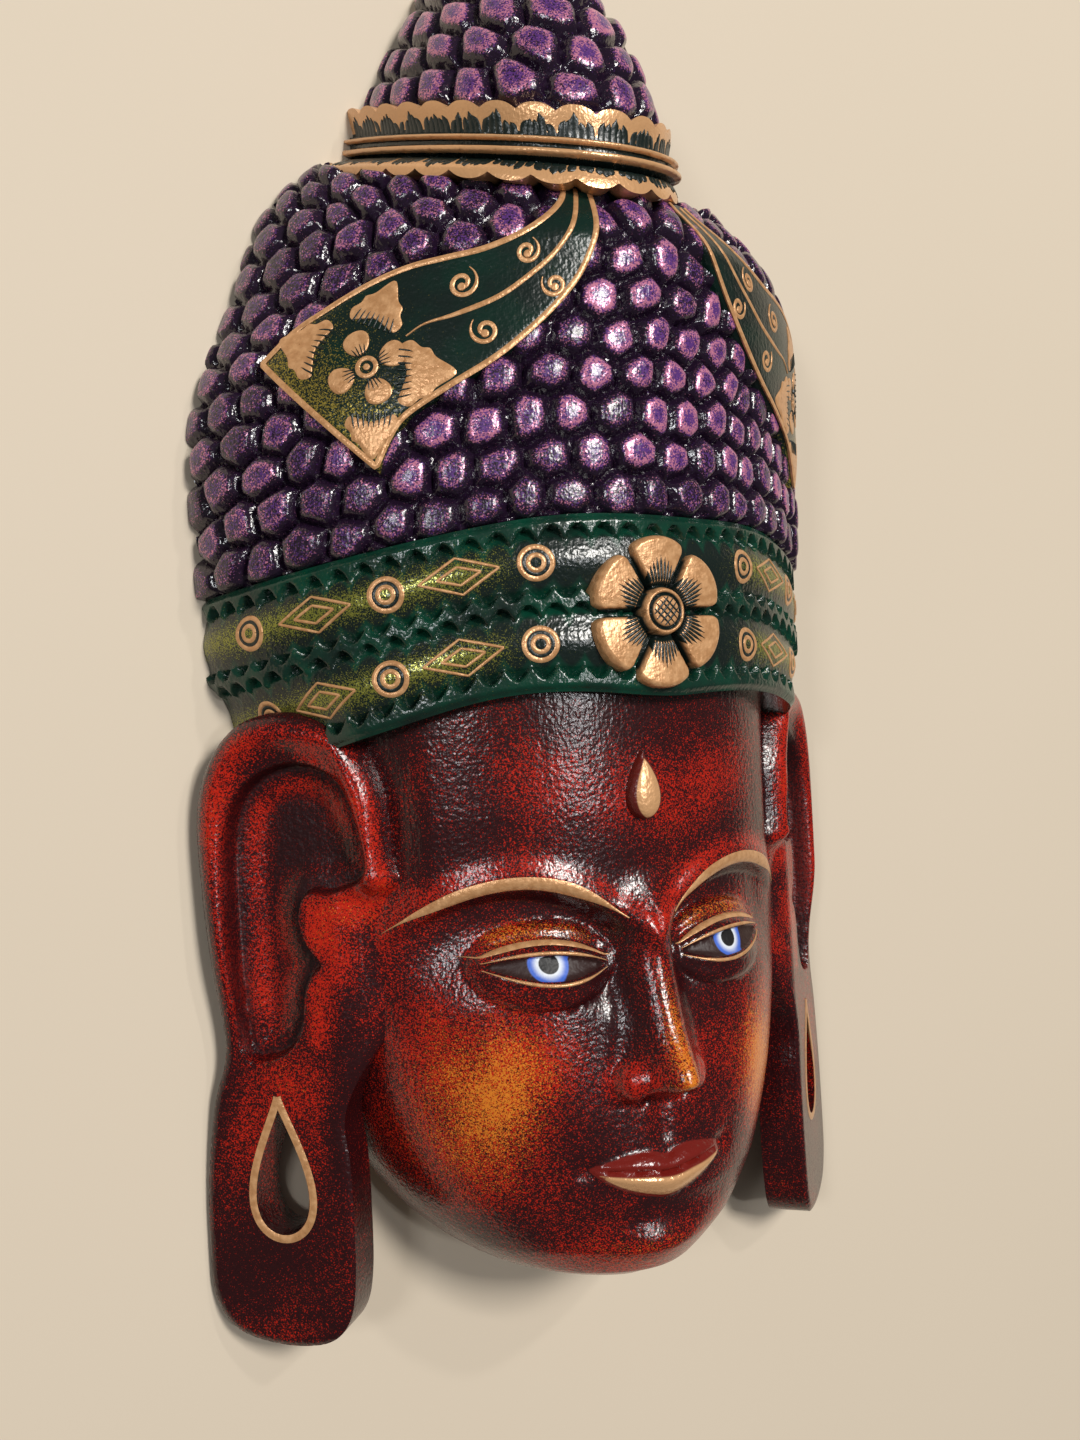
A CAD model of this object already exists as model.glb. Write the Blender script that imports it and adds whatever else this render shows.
"""Carved and painted wooden wall mask, lying on its back on a pale floor.

Sizes are millimetres in the frame of the solid: X to the viewer's right, Y to the topknot, Z up
and out of the face.
"""

import bpy
import numpy as np
from mathutils import Matrix, Vector
from mathutils.geometry import tessellate_polygon


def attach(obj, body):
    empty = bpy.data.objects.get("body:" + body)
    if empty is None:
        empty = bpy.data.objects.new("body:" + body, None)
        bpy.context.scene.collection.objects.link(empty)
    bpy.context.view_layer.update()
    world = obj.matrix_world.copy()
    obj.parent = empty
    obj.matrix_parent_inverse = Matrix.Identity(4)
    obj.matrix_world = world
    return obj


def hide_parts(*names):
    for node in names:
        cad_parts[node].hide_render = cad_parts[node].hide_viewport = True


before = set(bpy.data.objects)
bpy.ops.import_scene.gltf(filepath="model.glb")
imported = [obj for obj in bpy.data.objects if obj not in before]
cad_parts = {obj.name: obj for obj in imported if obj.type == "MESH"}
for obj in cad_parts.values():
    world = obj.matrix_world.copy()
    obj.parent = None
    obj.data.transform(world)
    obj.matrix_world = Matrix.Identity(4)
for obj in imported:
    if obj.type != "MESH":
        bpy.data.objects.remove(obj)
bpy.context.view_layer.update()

MM = 0.001

# Levels along the mask
TIP = 249.5
LOBE_END = -250.0
CHIN = -239.0
HAIRLINE = -36.0
BAND_TOP = 20.0
BAND_MIDDLE = -7.0
HAIR_MIDDLE = 45.0
HAIR_END = 140.0
RING_MIDDLE = 139.5
KNOT_BASE = 150.0
KNOT_START = 132.0

# Head
HEAD_ROUNDNESS = 1.7
HAIR_HALF_WIDTH = 119.0
HAIR_DOME_HEIGHT = 130.0
HAIR_DOME_ROUNDNESS = 2.25
HAIR_SIDE_HEIGHT = 320.0
HAIR_DEPTH = 91.0
HAIR_TOP_FALL = 15.0
HAIR_FALL_START = 110.0
CROWN_LEAN = 8.0
CROWN_LEAN_LEVEL = 106.0
CROWN_LEAN_REACH = 32.0
FACE_HALF_WIDTH = 97.0
FACE_MIDDLE = -95.0
FACE_ROUNDNESS = 2.45
FACE_SIDE_HEIGHT = 420.0
FACE_LEVELS = [CHIN, -232.0, -222.0, -205.0, -175.0, -125.0, -75.0, HAIRLINE, 40.0]
FACE_DEPTHS = [60.0, 73.0, 79.5, 83.5, 84.5, 83.5, 86.0, 86.0, 86.0]
JAW_LIFT = 36.0
JAW_START = -150.0

# Hollow back
HOLLOW_MIDDLE = -45.0
HOLLOW_HALF_LENGTH = 172.0
HOLLOW_HALF_WIDTH = 92.0
HOLLOW_DEPTH = 66.0
NAIL_HOLE_Y = 180.0
NAIL_HOLE_RADIUS = 4.0
NAIL_HOLE_DEPTH = 14.0
BACK_RIM_STEPS = 5
BACK_HOLLOW_STEPS = 36

# Hair curls
HAIR_START = 8.0
HAIR_SETTLED = 134.0
HAIR_ROWS = 186
HAIR_COLUMNS = 401
HAIR_DICE = 11
CURL_SHIFT_ACROSS = 0.34
CURL_SHIFT_UP = 0.32
CURL_SOFTNESS = 10.0
CURL_SINK = 9.0
CURL_PITCH = 14.6
CURL_ROW = 13.0
CURL_HEIGHT = 6.3
CURL_SPREAD_GIRTHS = [-170.0, -140.0, -110.0, 0.0, 30.0, 60.0, 100.0, 170.0]
CURL_SPREAD = [1.32, 1.16, 1.02, 1.0, 0.93, 0.88, 0.83, 0.86]

# Topknot and the rings below it
KNOT_HALF_WIDTH = 54.0
KNOT_DEPTH = 82.0
KNOT_TIP_DEPTH = 34.0
KNOT_TIP_LIFT = 14.0
KNOT_RISE = 25.0
KNOT_CURL_WIDER = 1.16
KNOT_CURL_TALLER = 1.16
KNOT_SHOULDER = 238.0
KNOT_FIRST_CURL = 7.0
KNOT_COLUMNS = 211
KNOT_DICE = 23
RING_HALF_WIDTH = 51.5
RING_DEPTH = 88.5
RING_FLARE = 11.0
RING_RISE = 30.0
RING_ROOT = 6.0
RING_ROWS = 320
RING_COLUMNS = 90
LOWER_ROLL = -1.9
UPPER_ROLL = 2.3
LEAF_PITCH = 13.0
LEAF_DICE = 31

# Headband
BAND_HALF_WIDTH = 115.4
BAND_DEPTH = 89.5
BAND_TOP_SAG = 16.0
BAND_MIDDLE_SAG = 19.0
BAND_LOW_SAG = 22.0
NOTCH_PITCH = 8.5
BAND_RAISED = 6.0
BAND_ROOT = 14.0
BAND_ROWS = 561
BAND_COLUMNS = 98

# Ears: a slanting slab with its outer edge on the floor
EAR_EDGE_X = 128.0
EAR_EDGE_Z = 8.0
EAR_TILT = np.radians(43.0)
EAR_THICKNESS = 17.0
EAR_ROUNDING = 3.2
EAR_ROOT_ROUNDING = 12.0
EAR_HOLLOW_DEPTH = 7.5
EAR_ROLL = 4.5
EAR_COLUMNS = 146
EAR_ROWS = 360
EAR_BLOCK_FLOOR = -6.0

# Ornaments
FLOWER_X = 4.0
FLOWER_Y = -11.0
FLOWER_RADIUS = 25.0
FLOWER_FRONT = 101.0
PETALS = 6
BOSS_RADIUS = 8.4
BOSS_RING = 5.6
DROP_LOW = -79.0
DROP_HEIGHT = 23.0
DROP_WIDTH = 13.0
DROP_FRONT = 91.0
RIBBON_LIFT = 6.5
RIBBON_ROOT = 8.0
RIBBON_ROWS = 130
RIBBON_COLUMNS = 49
RIGHT_RIBBON_TURN = 19.0

# Face, on equal thirds from hairline to brow, brow to nose base, nose base to chin
THIRD = (HAIRLINE - CHIN) / 3
BROW = HAIRLINE - THIRD
NOSE_BASE = BROW - THIRD
NOSE_ROOT = BROW - 8.0
NOSE_TIP = NOSE_BASE + 8.0
EYE_X = 35.0
EYE_Y = BROW - 0.31 * THIRD
EYE_HALF = 20.0
MOUTH_Y = NOSE_BASE - 0.35 * THIRD
MOUTH_HALF = 26.0

# Camera: a 35 mm lens above the left side of the mask
LENS = 35.0
SENSOR = 36.0
CAMERA_PLACE = (-246.2, -41.4, 483.6)
CAMERA_YAW = np.radians(27.77)
CAMERA_PITCH = np.radians(-0.33)
CAMERA_ROLL = np.radians(-3.37)

# Studio: each light's name, place and size in metres, power in watts and colour
FLOOR_SPAN = 4000.0
LIGHT_TARGET = (0, 0, 0.04)
LIGHTS = [
    ("key", (0.5, 1.35, 3.8), 0.8, 120, (1.0, 0.97, 0.92)),
    ("window", (0.35, 0.1, 3.9), 0.3, 18, (0.97, 0.98, 1.0)),
    ("spark", (1.0, 1.5, 2.4), 0.12, 9, (1.0, 0.98, 0.95)),
    ("fill", (-2.6, 0.7, 2.6), 0.5, 27, (0.96, 0.98, 1.0)),
]
SURROUND_COLOUR = (0.95, 0.93, 0.9, 1)
SURROUND_STRENGTH = 0.10

# Colours
GOLD = (0.72, 0.40, 0.19, 1)
DULL_GOLD = (0.57, 0.29, 0.125, 1)
OLIVE_GOLD = (0.30, 0.30, 0.05, 1)
SPRAY_GOLD = (0.38, 0.29, 0.05, 1)
DARK_PLUM = (0.014, 0.006, 0.018, 1)
VIOLET = (0.10, 0.032, 0.19, 1)
PINK = (0.70, 0.25, 0.38, 1)
MAROON = (0.024, 0.004, 0.005, 1)
DEEP_MAROON = (0.016, 0.002, 0.003, 1)
RED = (0.50, 0.017, 0.006, 1)
LIP_RED = (0.17, 0.012, 0.008, 1)
DROP_RED = (0.12, 0.012, 0.008, 1)
AMBER = (0.70, 0.21, 0.02, 1)
BLACK_GREEN = (0.007, 0.014, 0.012, 1)
RIBBON_GREEN = (0.004, 0.022, 0.015, 1)
GREEN = (0.003, 0.048, 0.027, 1)
EYE_BROWN = (0.025, 0.007, 0.006, 1)
IRIS_BLUE = (0.05, 0.14, 0.62, 1)
IRIS_WHITE = (0.75, 0.80, 0.86, 1)
PUPIL_BLACK = (0.004, 0.004, 0.005, 1)
DARK_WOOD = (0.30, 0.19, 0.10, 1)
PALE_WOOD = (0.46, 0.33, 0.20, 1)
FLOOR_DARKER = (0.64, 0.55, 0.43, 1)
FLOOR_PALER = (0.68, 0.585, 0.465, 1)

# Gloss
GRIT = 650.0
FINE_GRIT = 800.0
GOLD_METAL = 0.3
SPRAY_METAL = 0.5
BUMP_DISTANCE = 0.001


def ease(low, high, t):
    """Smooth step from 0 at low to 1 at high."""
    s = np.clip((t - low) / (high - low), 0, 1)
    return s * s * (3 - 2 * s)


def bell(t, width):
    """Bell curve of height 1 that falls to 1/e at its width."""
    return np.exp(-((t / width) ** 2))


def mix(a, b, t):
    """Value at a share of the way from a to b."""
    return a + (b - a) * t


def walked(points, axis=0):
    """Distance walked along one axis of an array of points, from its start."""
    steps = np.linalg.norm(np.diff(points, axis=axis), axis=-1)
    start = np.zeros_like(np.take(steps, [0], axis=axis))
    return np.concatenate([start, np.cumsum(steps, axis=axis)], axis=axis)


def at_distances(path, distance, wanted):
    """Places on a path in plan at wanted distances along it."""
    return np.stack([np.interp(wanted, distance, path[:, k]) for k in range(2)], axis=1)


def on_oval(half, depth, angle, offset, roundness=2.0):
    """Point of an oval whose half width and depth shares, each to the power of its roundness, add up to
    one, pushed out by an offset along the oval's normal."""
    sine = np.sin(angle)
    across = np.sign(sine) * np.abs(sine) ** (2 / roundness)
    up = np.clip(np.cos(angle), 0, 1) ** (2 / roundness)
    lean = np.sign(sine) * np.abs(across) ** (roundness - 1) / half
    face = up ** (roundness - 1) / depth
    length = np.hypot(lean, face)
    return half * across + offset * lean / length, depth * up + offset * face / length


def girth_table(half, depth, roundness=2.0):
    """Angles from the left floor to the right floor and the distance along the oval from its front to
    each."""
    angle = np.linspace(-np.pi / 2, np.pi / 2, 1441)
    distance = walked(np.stack(on_oval(half, depth, angle, 0.0, roundness), axis=-1))
    return angle, distance - distance[len(angle) // 2]


def surface_normals(points):
    """Unit normals of a grid of points, from the cross product of its two directions."""
    normal = np.cross(np.gradient(points, axis=1), np.gradient(points, axis=0))
    return normal / np.maximum(np.linalg.norm(normal, axis=-1, keepdims=True), 1e-9)


def hair_section(level):
    """Half width and depth of the hair: an oval dome above the middle, slowly narrowing sides below it."""
    above = np.clip((level - HAIR_MIDDLE) / HAIR_DOME_HEIGHT, 0, 1)
    under = np.clip((HAIR_MIDDLE - level) / HAIR_SIDE_HEIGHT, 0, 1)
    dome = (1 - above**HAIR_DOME_ROUNDNESS) ** (1 / HAIR_DOME_ROUNDNESS)
    half = HAIR_HALF_WIDTH * dome * np.sqrt(1 - under**2)
    return half, HAIR_DEPTH - HAIR_TOP_FALL * ease(HAIR_FALL_START, HAIR_END, level)


def crown_lean(y):
    """Shift of the crown to the right, most at one level and fading out above and below it."""
    return CROWN_LEAN * bell(y - CROWN_LEAN_LEVEL, CROWN_LEAN_REACH)


def face_section(y):
    """Half width and depth of the face: a rounded oval in front view, its depth read between a few
    levels."""
    height = np.where(y < FACE_MIDDLE, FACE_MIDDLE - CHIN, FACE_SIDE_HEIGHT)
    down = np.clip(np.abs(FACE_MIDDLE - y) / height, 0, 1)
    half = FACE_HALF_WIDTH * (1 - down**FACE_ROUNDNESS) ** (1 / FACE_ROUNDNESS)
    return np.maximum(half, 3), np.interp(y, FACE_LEVELS, FACE_DEPTHS)


def knot_section(y):
    """Half width, depth above the lift, and lift off the floor of the topknot, shrinking to its tip."""
    along = np.clip((y - KNOT_BASE) / (TIP - KNOT_BASE), 0, 0.995)
    half = KNOT_HALF_WIDTH * (1 - along**1.5) ** 0.8
    lift = KNOT_TIP_LIFT * along**4
    return half, mix(KNOT_DEPTH, KNOT_TIP_DEPTH, along**1.7) - lift, lift


def band_lines(x):
    """Levels of the headband's top edge, middle border and low edge, which sag towards the sides and
    waver a little."""
    out = np.abs(x) / BAND_HALF_WIDTH
    top_wave = 2.2 * bell(x + 25, 36) + 3.4 * bell(x - 62, 36)
    low_wave = 3.4 * bell(x + 48, 30) - 2.5 * bell(x - 8, 22) + 3.4 * bell(x - 72, 30)
    top = BAND_TOP - BAND_TOP_SAG * out**2.2 + top_wave
    middle = BAND_MIDDLE - BAND_MIDDLE_SAG * out**2 + 0.5 * (top_wave + low_wave)
    return top, middle, HAIRLINE - BAND_LOW_SAG * out**2 + low_wave


def band_plan(angle):
    """Distance of the headband's plain oval from the middle of the mask at an angle."""
    return BAND_HALF_WIDTH * np.sign(angle) * np.abs(np.sin(angle)) ** (2 / HEAD_ROUNDNESS)


def ring_rise(angle):
    """Rise of the crown rings from their front to their sides."""
    return RING_RISE * (1 - np.cos(angle))


def jaw_lift(y):
    """Lift of the face's edge off the floor, from the jaw to the chin."""
    return JAW_LIFT * np.clip((JAW_START - y) / (JAW_START - CHIN), 0, 1) ** 2


def new_object(name, points, quads, triangles=(), fields=None, materials=(), slots=None, sharp=62):
    """One smooth mesh from arrays of points in millimetres and faces, turned outward, with a value per
    point for each named field and creases at edges sharper than an angle."""
    points = np.asarray(points, dtype=float).reshape(-1, 3)
    quads = np.asarray(quads, dtype=np.int64).reshape(-1, 4)
    triangles = np.asarray(triangles, dtype=np.int64).reshape(-1, 3)
    halves = np.concatenate([quads[:, [0, 1, 2]], quads[:, [0, 2, 3]], triangles])
    a, b, c = (points[halves[:, k]] for k in range(3))
    if np.einsum("ij,ij->", a, np.cross(b, c)) < 0:
        quads = quads[:, ::-1]
        triangles = triangles[:, ::-1]
    corners = np.concatenate([quads.ravel(), triangles.ravel()])
    sizes = np.concatenate([np.full(len(quads), 4), np.full(len(triangles), 3)])
    mesh = bpy.data.meshes.new(name)
    mesh.vertices.add(len(points))
    mesh.vertices.foreach_set("co", (points * MM).ravel())
    mesh.loops.add(len(corners))
    mesh.loops.foreach_set("vertex_index", corners)
    mesh.polygons.add(len(sizes))
    mesh.polygons.foreach_set("loop_start", np.cumsum(sizes) - sizes)
    mesh.polygons.foreach_set("use_smooth", np.ones(len(sizes), dtype=bool))
    for material in materials:
        mesh.materials.append(material)
    if slots is not None:
        mesh.polygons.foreach_set("material_index", np.asarray(slots, dtype=np.int32))
    mesh.update(calc_edges=True)
    for field, values in (fields or {}).items():
        attribute = mesh.attributes.new(field, "FLOAT", "POINT")
        attribute.data.foreach_set("value", np.asarray(values, dtype=np.float32).ravel())
    mesh.set_sharp_from_angle(angle=np.radians(sharp))
    piece = bpy.data.objects.new(name, mesh)
    bpy.context.scene.collection.objects.link(piece)
    return piece


def ring_faces(rows, columns):
    """Quads between closed loops of points that follow each other."""
    k, j = np.meshgrid(np.arange(rows - 1) * columns, np.arange(columns), indexing="ij")
    after = (j + 1) % columns
    return np.stack([k + j, k + after, k + columns + after, k + columns + j], -1).reshape(-1, 4)


def cap_faces(loop, first, turned):
    """Triangles that close one loop of points, facing along its turning direction or turned against it."""
    found = np.array(tessellate_polygon([[Vector(point) for point in loop]]))
    facing = np.cross(loop, np.roll(loop, -1, axis=0)).sum(axis=0)
    a, b, c = (loop[found[:, k]] for k in range(3))
    if (np.cross(b - a, c - a).sum(axis=0) @ facing < 0) != turned:
        found = found[:, ::-1]
    return first + found


def stack_loops(name, loops, fields=None, materials=(), back_from=None):
    """Closed body from an array of loops, rows by points by 3, with its first and last loop filled.
    Columns from back_from on take the second material."""
    rows, columns = loops.shape[:2]
    quads = ring_faces(rows, columns)
    last = (rows - 1) * columns
    caps = np.concatenate([cap_faces(loops[0], 0, True), cap_faces(loops[-1], last, False)])
    slots = None
    if back_from is not None:
        across = np.tile(np.arange(columns) >= back_from, rows - 1).astype(int)
        slots = np.concatenate([across, np.zeros(len(caps), dtype=int)])
    return new_object(name, loops, quads, caps, fields, materials, slots)


def back_points(half, y, lift):
    """Back of each loop: a flat rim at its lift, and inside it the bowl of the hollow, an ellipsoid. The
    hollow's edge runs along one column."""
    rim = np.linspace(1, 0, BACK_RIM_STEPS + 1)[1:]
    bowl = np.cos(np.linspace(0, np.pi, BACK_HOLLOW_STEPS + 1))[1:-1]
    share = np.clip(1 - ((y - HOLLOW_MIDDLE) / HOLLOW_HALF_LENGTH) ** 2, 0, 1)
    edge = np.clip(HOLLOW_HALF_WIDTH * np.sqrt(share), 0.4, half - 2)
    right = edge + (half - edge) * rim
    x = np.concatenate([right, edge * bowl, -right[:, ::-1]], axis=1)
    inside = 1 - (x / HOLLOW_HALF_WIDTH) ** 2 - ((y - HOLLOW_MIDDLE) / HOLLOW_HALF_LENGTH) ** 2
    z = np.maximum(HOLLOW_DEPTH * np.sqrt(np.clip(inside, 0, 1)), lift)
    return np.stack([x, y + 0 * x, z], axis=-1)


def peg_cells(column, row, seed, row_length):
    """Brick lattice of pegs a little out of line, each row as wide as its own length allows. For each
    place: distance from the nearest peg's middle, distance from the border to the next peg, and that
    peg's dice."""
    dice = np.random.default_rng(seed).random((64, 96, 4))
    nearest = np.full(column.shape, 1e9)
    second = np.full(column.shape, 1e9)
    picked = np.zeros(column.shape + (4,))
    for row_step in (-1, 0, 1):
        peg_row = np.floor(row) + row_step
        shift = 0.5 * (peg_row % 2)
        placed = column * row_length(peg_row + 0.5) / row_length(row)
        for column_step in (-1, 0, 1):
            peg_column = np.floor(placed - shift) + column_step
            cast = dice[peg_row.astype(int) % 64, peg_column.astype(int) % 96]
            beside = 0.5 + shift + CURL_SHIFT_ACROSS * (cast[..., 0] - 0.5)
            right = (placed - peg_column - beside) * CURL_PITCH
            above = (row - peg_row - 0.5 - CURL_SHIFT_UP * (cast[..., 1] - 0.5)) * CURL_ROW
            gap = right**2 + above**2
            closer = gap < nearest
            second = np.where(closer, nearest, np.minimum(second, gap))
            nearest = np.where(closer, gap, nearest)
            picked = np.where(closer[..., None], cast, picked)
    return np.sqrt(nearest), (second - nearest) / (2 * CURL_PITCH), picked


def curled_surface(base, first_row, seed, raised, wider=1.0, taller=1.0, by_row=False):
    """Base grid raised by pegs. Their lattice runs along each row from the middle and up each column from
    the first row's level, both measured along the surface. Each peg is a rounded block, more conical at
    the front, with a thin ridge on the border to the next. With by_row, each row of pegs keeps to its own
    length."""
    centre = base.shape[1] // 2
    across = walked(base, 1)
    across -= across[:, [centre]]
    table = np.linspace(-260, 260, 521)
    pegs = np.cumsum(1 / (CURL_PITCH * np.interp(table, CURL_SPREAD_GIRTHS, CURL_SPREAD)))
    column = np.interp(across, table, pegs - pegs[len(table) // 2]) / wider
    up = walked(base)
    row = (up - up[[first_row]]) / (CURL_ROW * taller)
    lengths = across[:, -1] if by_row else np.ones(len(base))

    def row_length(place):
        """Length of the lattice at a place up the middle column."""
        return np.interp(place, row[:, centre], lengths)

    middle, border, dice = peg_cells(column, row, seed, row_length)
    out = middle / (middle + np.maximum(border, 0) + 1e-6)
    square = mix(2.9, 3.8, ease(25, 95, np.abs(across + 20)))
    block = (1 - np.clip(out, 0, 1) ** square) ** 0.7
    flat = np.exp(-CURL_SOFTNESS * (0.86 + 0.15 * dice[..., 2]))
    topped = np.log((1 + flat) / (np.exp(-CURL_SOFTNESS * block) + flat)) / CURL_SOFTNESS
    ridge = 0.35 * np.clip(1 - border / 0.9, 0, 1)
    height = CURL_HEIGHT * (0.84 + 0.32 * dice[..., 1]) * topped + ridge
    lowered = height * raised - CURL_SINK * (1 - raised)
    points = base + surface_normals(base) * lowered[..., None]
    points[..., 2] = np.maximum(points[..., 2], 0)
    darker_low = mix(0.3, 1, ease(0.7, 1.5, row))
    darker_left = mix(1, 0.55, ease(10, 110, -across))
    darker_high = mix(1, 0.6, ease(5, 8, row))
    return points, {"peg_out": out, "peg_tone": dice[..., 3] * darker_low * darker_left * darker_high}


def back_fields(fields, back_count, fill=0):
    """Fields of the front columns, carried on with one value over the back columns."""
    pad = ((0, 0), (0, back_count))
    return {name: np.pad(value, pad, constant_values=fill) for name, value in fields.items()}


def close_back(name, front, back, fields, materials, fill=0):
    """Closed body from the rows of a front and of a back, which takes the second material."""
    loops = np.concatenate([front, back], axis=1)
    fields = back_fields(fields, back.shape[1], fill)
    return stack_loops(name, loops, fields, materials, front.shape[1] - 1)


def even_angles(table, count):
    """Angles at even distances around an oval."""
    angles, girths = table
    return np.interp(np.linspace(girths[0], girths[-1], count), girths, angles)[None, :]


def make_hair(materials):
    """Dome of curls: loops of an oval section from under the headband, whose edge sags at the sides, to
    under the rings, which rise at the sides. Hollow behind."""
    level = np.linspace(HAIR_START, HAIR_END, HAIR_ROWS)[:, None]
    angle = even_angles((HAIR_ANGLES, HAIR_GIRTHS), HAIR_COLUMNS)
    settle = ease(BAND_TOP, HAIR_SETTLED, level)
    rise = ring_rise(angle)
    y = level + (band_lines(band_plan(angle))[0] - BAND_TOP) * (1 - settle) + rise * settle
    half, depth = hair_section(y)
    x, z = on_oval(half, depth, angle, 0, HEAD_ROUNDNESS)
    base = np.stack([x + crown_lean(y), y, z], axis=-1)
    first = int(np.argmin(np.abs(level[:, 0] - BAND_TOP)))
    under_ring = 1 - ease(-1, 2, y - rise - RING_MIDDLE + 9)
    raised = ease(BAND_TOP - 1.5, BAND_TOP + 0.5, level) * under_ring
    front, fields = curled_surface(base, first, HAIR_DICE, raised)
    back = back_points(half[:, :1], y[:, :1], 0.0)
    back[..., 0] += crown_lean(y[:, :1])
    return close_back("curled_hair", front, back, fields, materials, 1)


def make_knot(materials):
    """Topknot of curls: smaller ovals stacked to a rounded tip, the lower ones tilted with the rings. Its
    flat back has a round hole for a nail."""
    lower = np.linspace(KNOT_START, KNOT_SHOULDER, 126)
    level = np.concatenate([lower, np.linspace(KNOT_SHOULDER + 0.8, TIP, 18)])[:, None]
    angle = even_angles(girth_table(KNOT_HALF_WIDTH, KNOT_DEPTH), KNOT_COLUMNS)
    along = np.clip((level - KNOT_START) / (TIP - KNOT_START), 0, 1)
    rise = KNOT_RISE * (1 - np.cos(angle)) * (1 - along**2)
    y = np.minimum(level + rise, TIP)
    half, depth, lift = knot_section(y)
    x, z = on_oval(half, depth, angle, 0)
    base = np.stack([x, y, z + lift], axis=-1)
    first = int(np.argmin(np.abs(level[:, 0] - KNOT_BASE - KNOT_FIRST_CURL)))
    raised = ease(-3, 0, level + rise - RING_MIDDLE - ring_rise(angle) - 13)
    front, fields = curled_surface(base, first, KNOT_DICE, raised, KNOT_CURL_WIDER, KNOT_CURL_TALLER, True)
    fields["peg_tone"] = mix(0.45, 1, fields["peg_tone"])
    spread = np.linspace(1, -1, 41)[None, 1:-1]
    back_x = front[:, -1:, 0] * (0.25 * spread + 0.75 * spread**3)
    back_y = y[:, :1] + 0 * back_x
    from_nail = np.hypot(back_x, back_y - NAIL_HOLE_Y)
    hole = 1 - ease(NAIL_HOLE_RADIUS - 0.6, NAIL_HOLE_RADIUS + 0.6, from_nail)
    back = np.stack([back_x, back_y, lift[:, :1] + NAIL_HOLE_DEPTH * hole], axis=-1)
    return close_back("topknot", front, back, fields, materials, 1)


def brow_line(side):
    """Level of the brow's arch at a distance from the middle."""
    return BROW + 6 - 15 * ((side - 44) / 36) ** 2


def eye_lines(side):
    """Levels of the upper lid's edge, lower lid's edge and lid fold, and the place along the eye from -1
    to 1."""
    along = (side - EYE_X) / EYE_HALF
    inside = np.clip(1 - along**2, 0, 1)
    middle = EYE_Y + 1.2 * along
    return middle + 3.6 * inside, middle - 4.4 * inside**1.1, middle + 4.5 + 5.0 * inside, along


def lip_lines(x):
    """Levels of the line between the lips, the upper lip's top and the lower lip's bottom."""
    along = x / MOUTH_HALF
    inside = np.clip(1 - along**2, 0, 1)
    line = MOUTH_Y + 2.4 * along**2 - 0.8 * bell(x, 6)
    return line, line + 7.2 * inside**0.8 * (1 - 0.22 * bell(x, 4)), line - 9.0 * inside**0.75, inside


def eye_relief(side, y):
    """Eyeball in its socket, the opening let in between two rolled lid edges, and a fold above them."""
    upper, lower, fold, along = eye_lines(side)
    ball = 7.0 * np.sqrt(np.clip(1 - (along / 1.18) ** 2 - ((y - EYE_Y) / 14.5) ** 2, 0, 1))
    within = 1 - ease(0.94, 1.06, np.abs(along))
    opening = -1.7 * within * ease(-0.6, 0.6, np.minimum(upper - y, y - lower))
    rolls = within * (1.4 * bell(y - upper - 1.5, 1.7) + 1.0 * bell(y - lower + 1.2, 1.5))
    crease = -1.2 * (1 - ease(0.9, 1.15, np.abs(along))) * bell(y - fold, 1.4)
    return ball + opening + rolls + crease


def nose_relief(side, y):
    """Ridge that rises from root to tip and falls off below it, with a rounded wing and a nostril at each
    side."""
    along = np.clip((NOSE_ROOT - y) / (NOSE_ROOT - NOSE_TIP), 0, 1)
    start = 1 - ease(NOSE_ROOT - 2, NOSE_ROOT + 18, y)
    end = ease(NOSE_BASE - 1.5, NOSE_TIP - 0.5, y) ** 0.7
    ridge = mix(6.5, 18.5, along**1.25) * start * end * np.exp(-((side / mix(8.5, 11.5, along)) ** 2.3))
    tip = 3.5 * bell(side, 8) * bell(y - NOSE_TIP - 2, 8) * end
    wing = 9.5 * np.sqrt(np.clip(1 - ((side - 10.5) / 7.0) ** 2 - ((y - NOSE_TIP + 1.0) / 8.0) ** 2, 0, 1))
    nostril = -3.5 * bell(side - 7.5, 3.0) * bell(y - NOSE_BASE - 0.5, 2.4)
    soft = 2.2
    return np.log(np.exp((ridge + tip) / soft) + np.exp(wing / soft) - 1) * soft + nostril


def mouth_relief(x, y):
    """Two full lips, each falling from the line between them to its own edge, over a soft swell."""
    line, top, low, inside = lip_lines(x)
    above = np.clip((y - line) / np.maximum(top - line, 0.5), 0, 1)
    under = np.clip((line - y) / np.maximum(line - low, 0.5), 0, 1)
    upper = 4.2 * (1 - above**2.2) * (y >= line)
    lower = 5.4 * (1 - under**2.2) * (y < line)
    groove = -2.6 * inside**0.3 * bell(y - line, 1.1) * (np.abs(x) < MOUTH_HALF)
    corner = -1.8 * bell(np.abs(x) - MOUTH_HALF - 1, 3.5) * bell(y - MOUTH_Y - 2, 3.5)
    under_nose = ease(MOUTH_Y + 6, MOUTH_Y + 11, y) * (1 - ease(NOSE_BASE - 3, NOSE_BASE, y))
    philtrum = -1.4 * bell(x, 3.4) * under_nose
    swell = 3.5 * bell(x, 34) * bell(y - MOUTH_Y, 26)
    return np.sqrt(inside) * (upper + lower) + groove + corner + philtrum + swell


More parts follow.
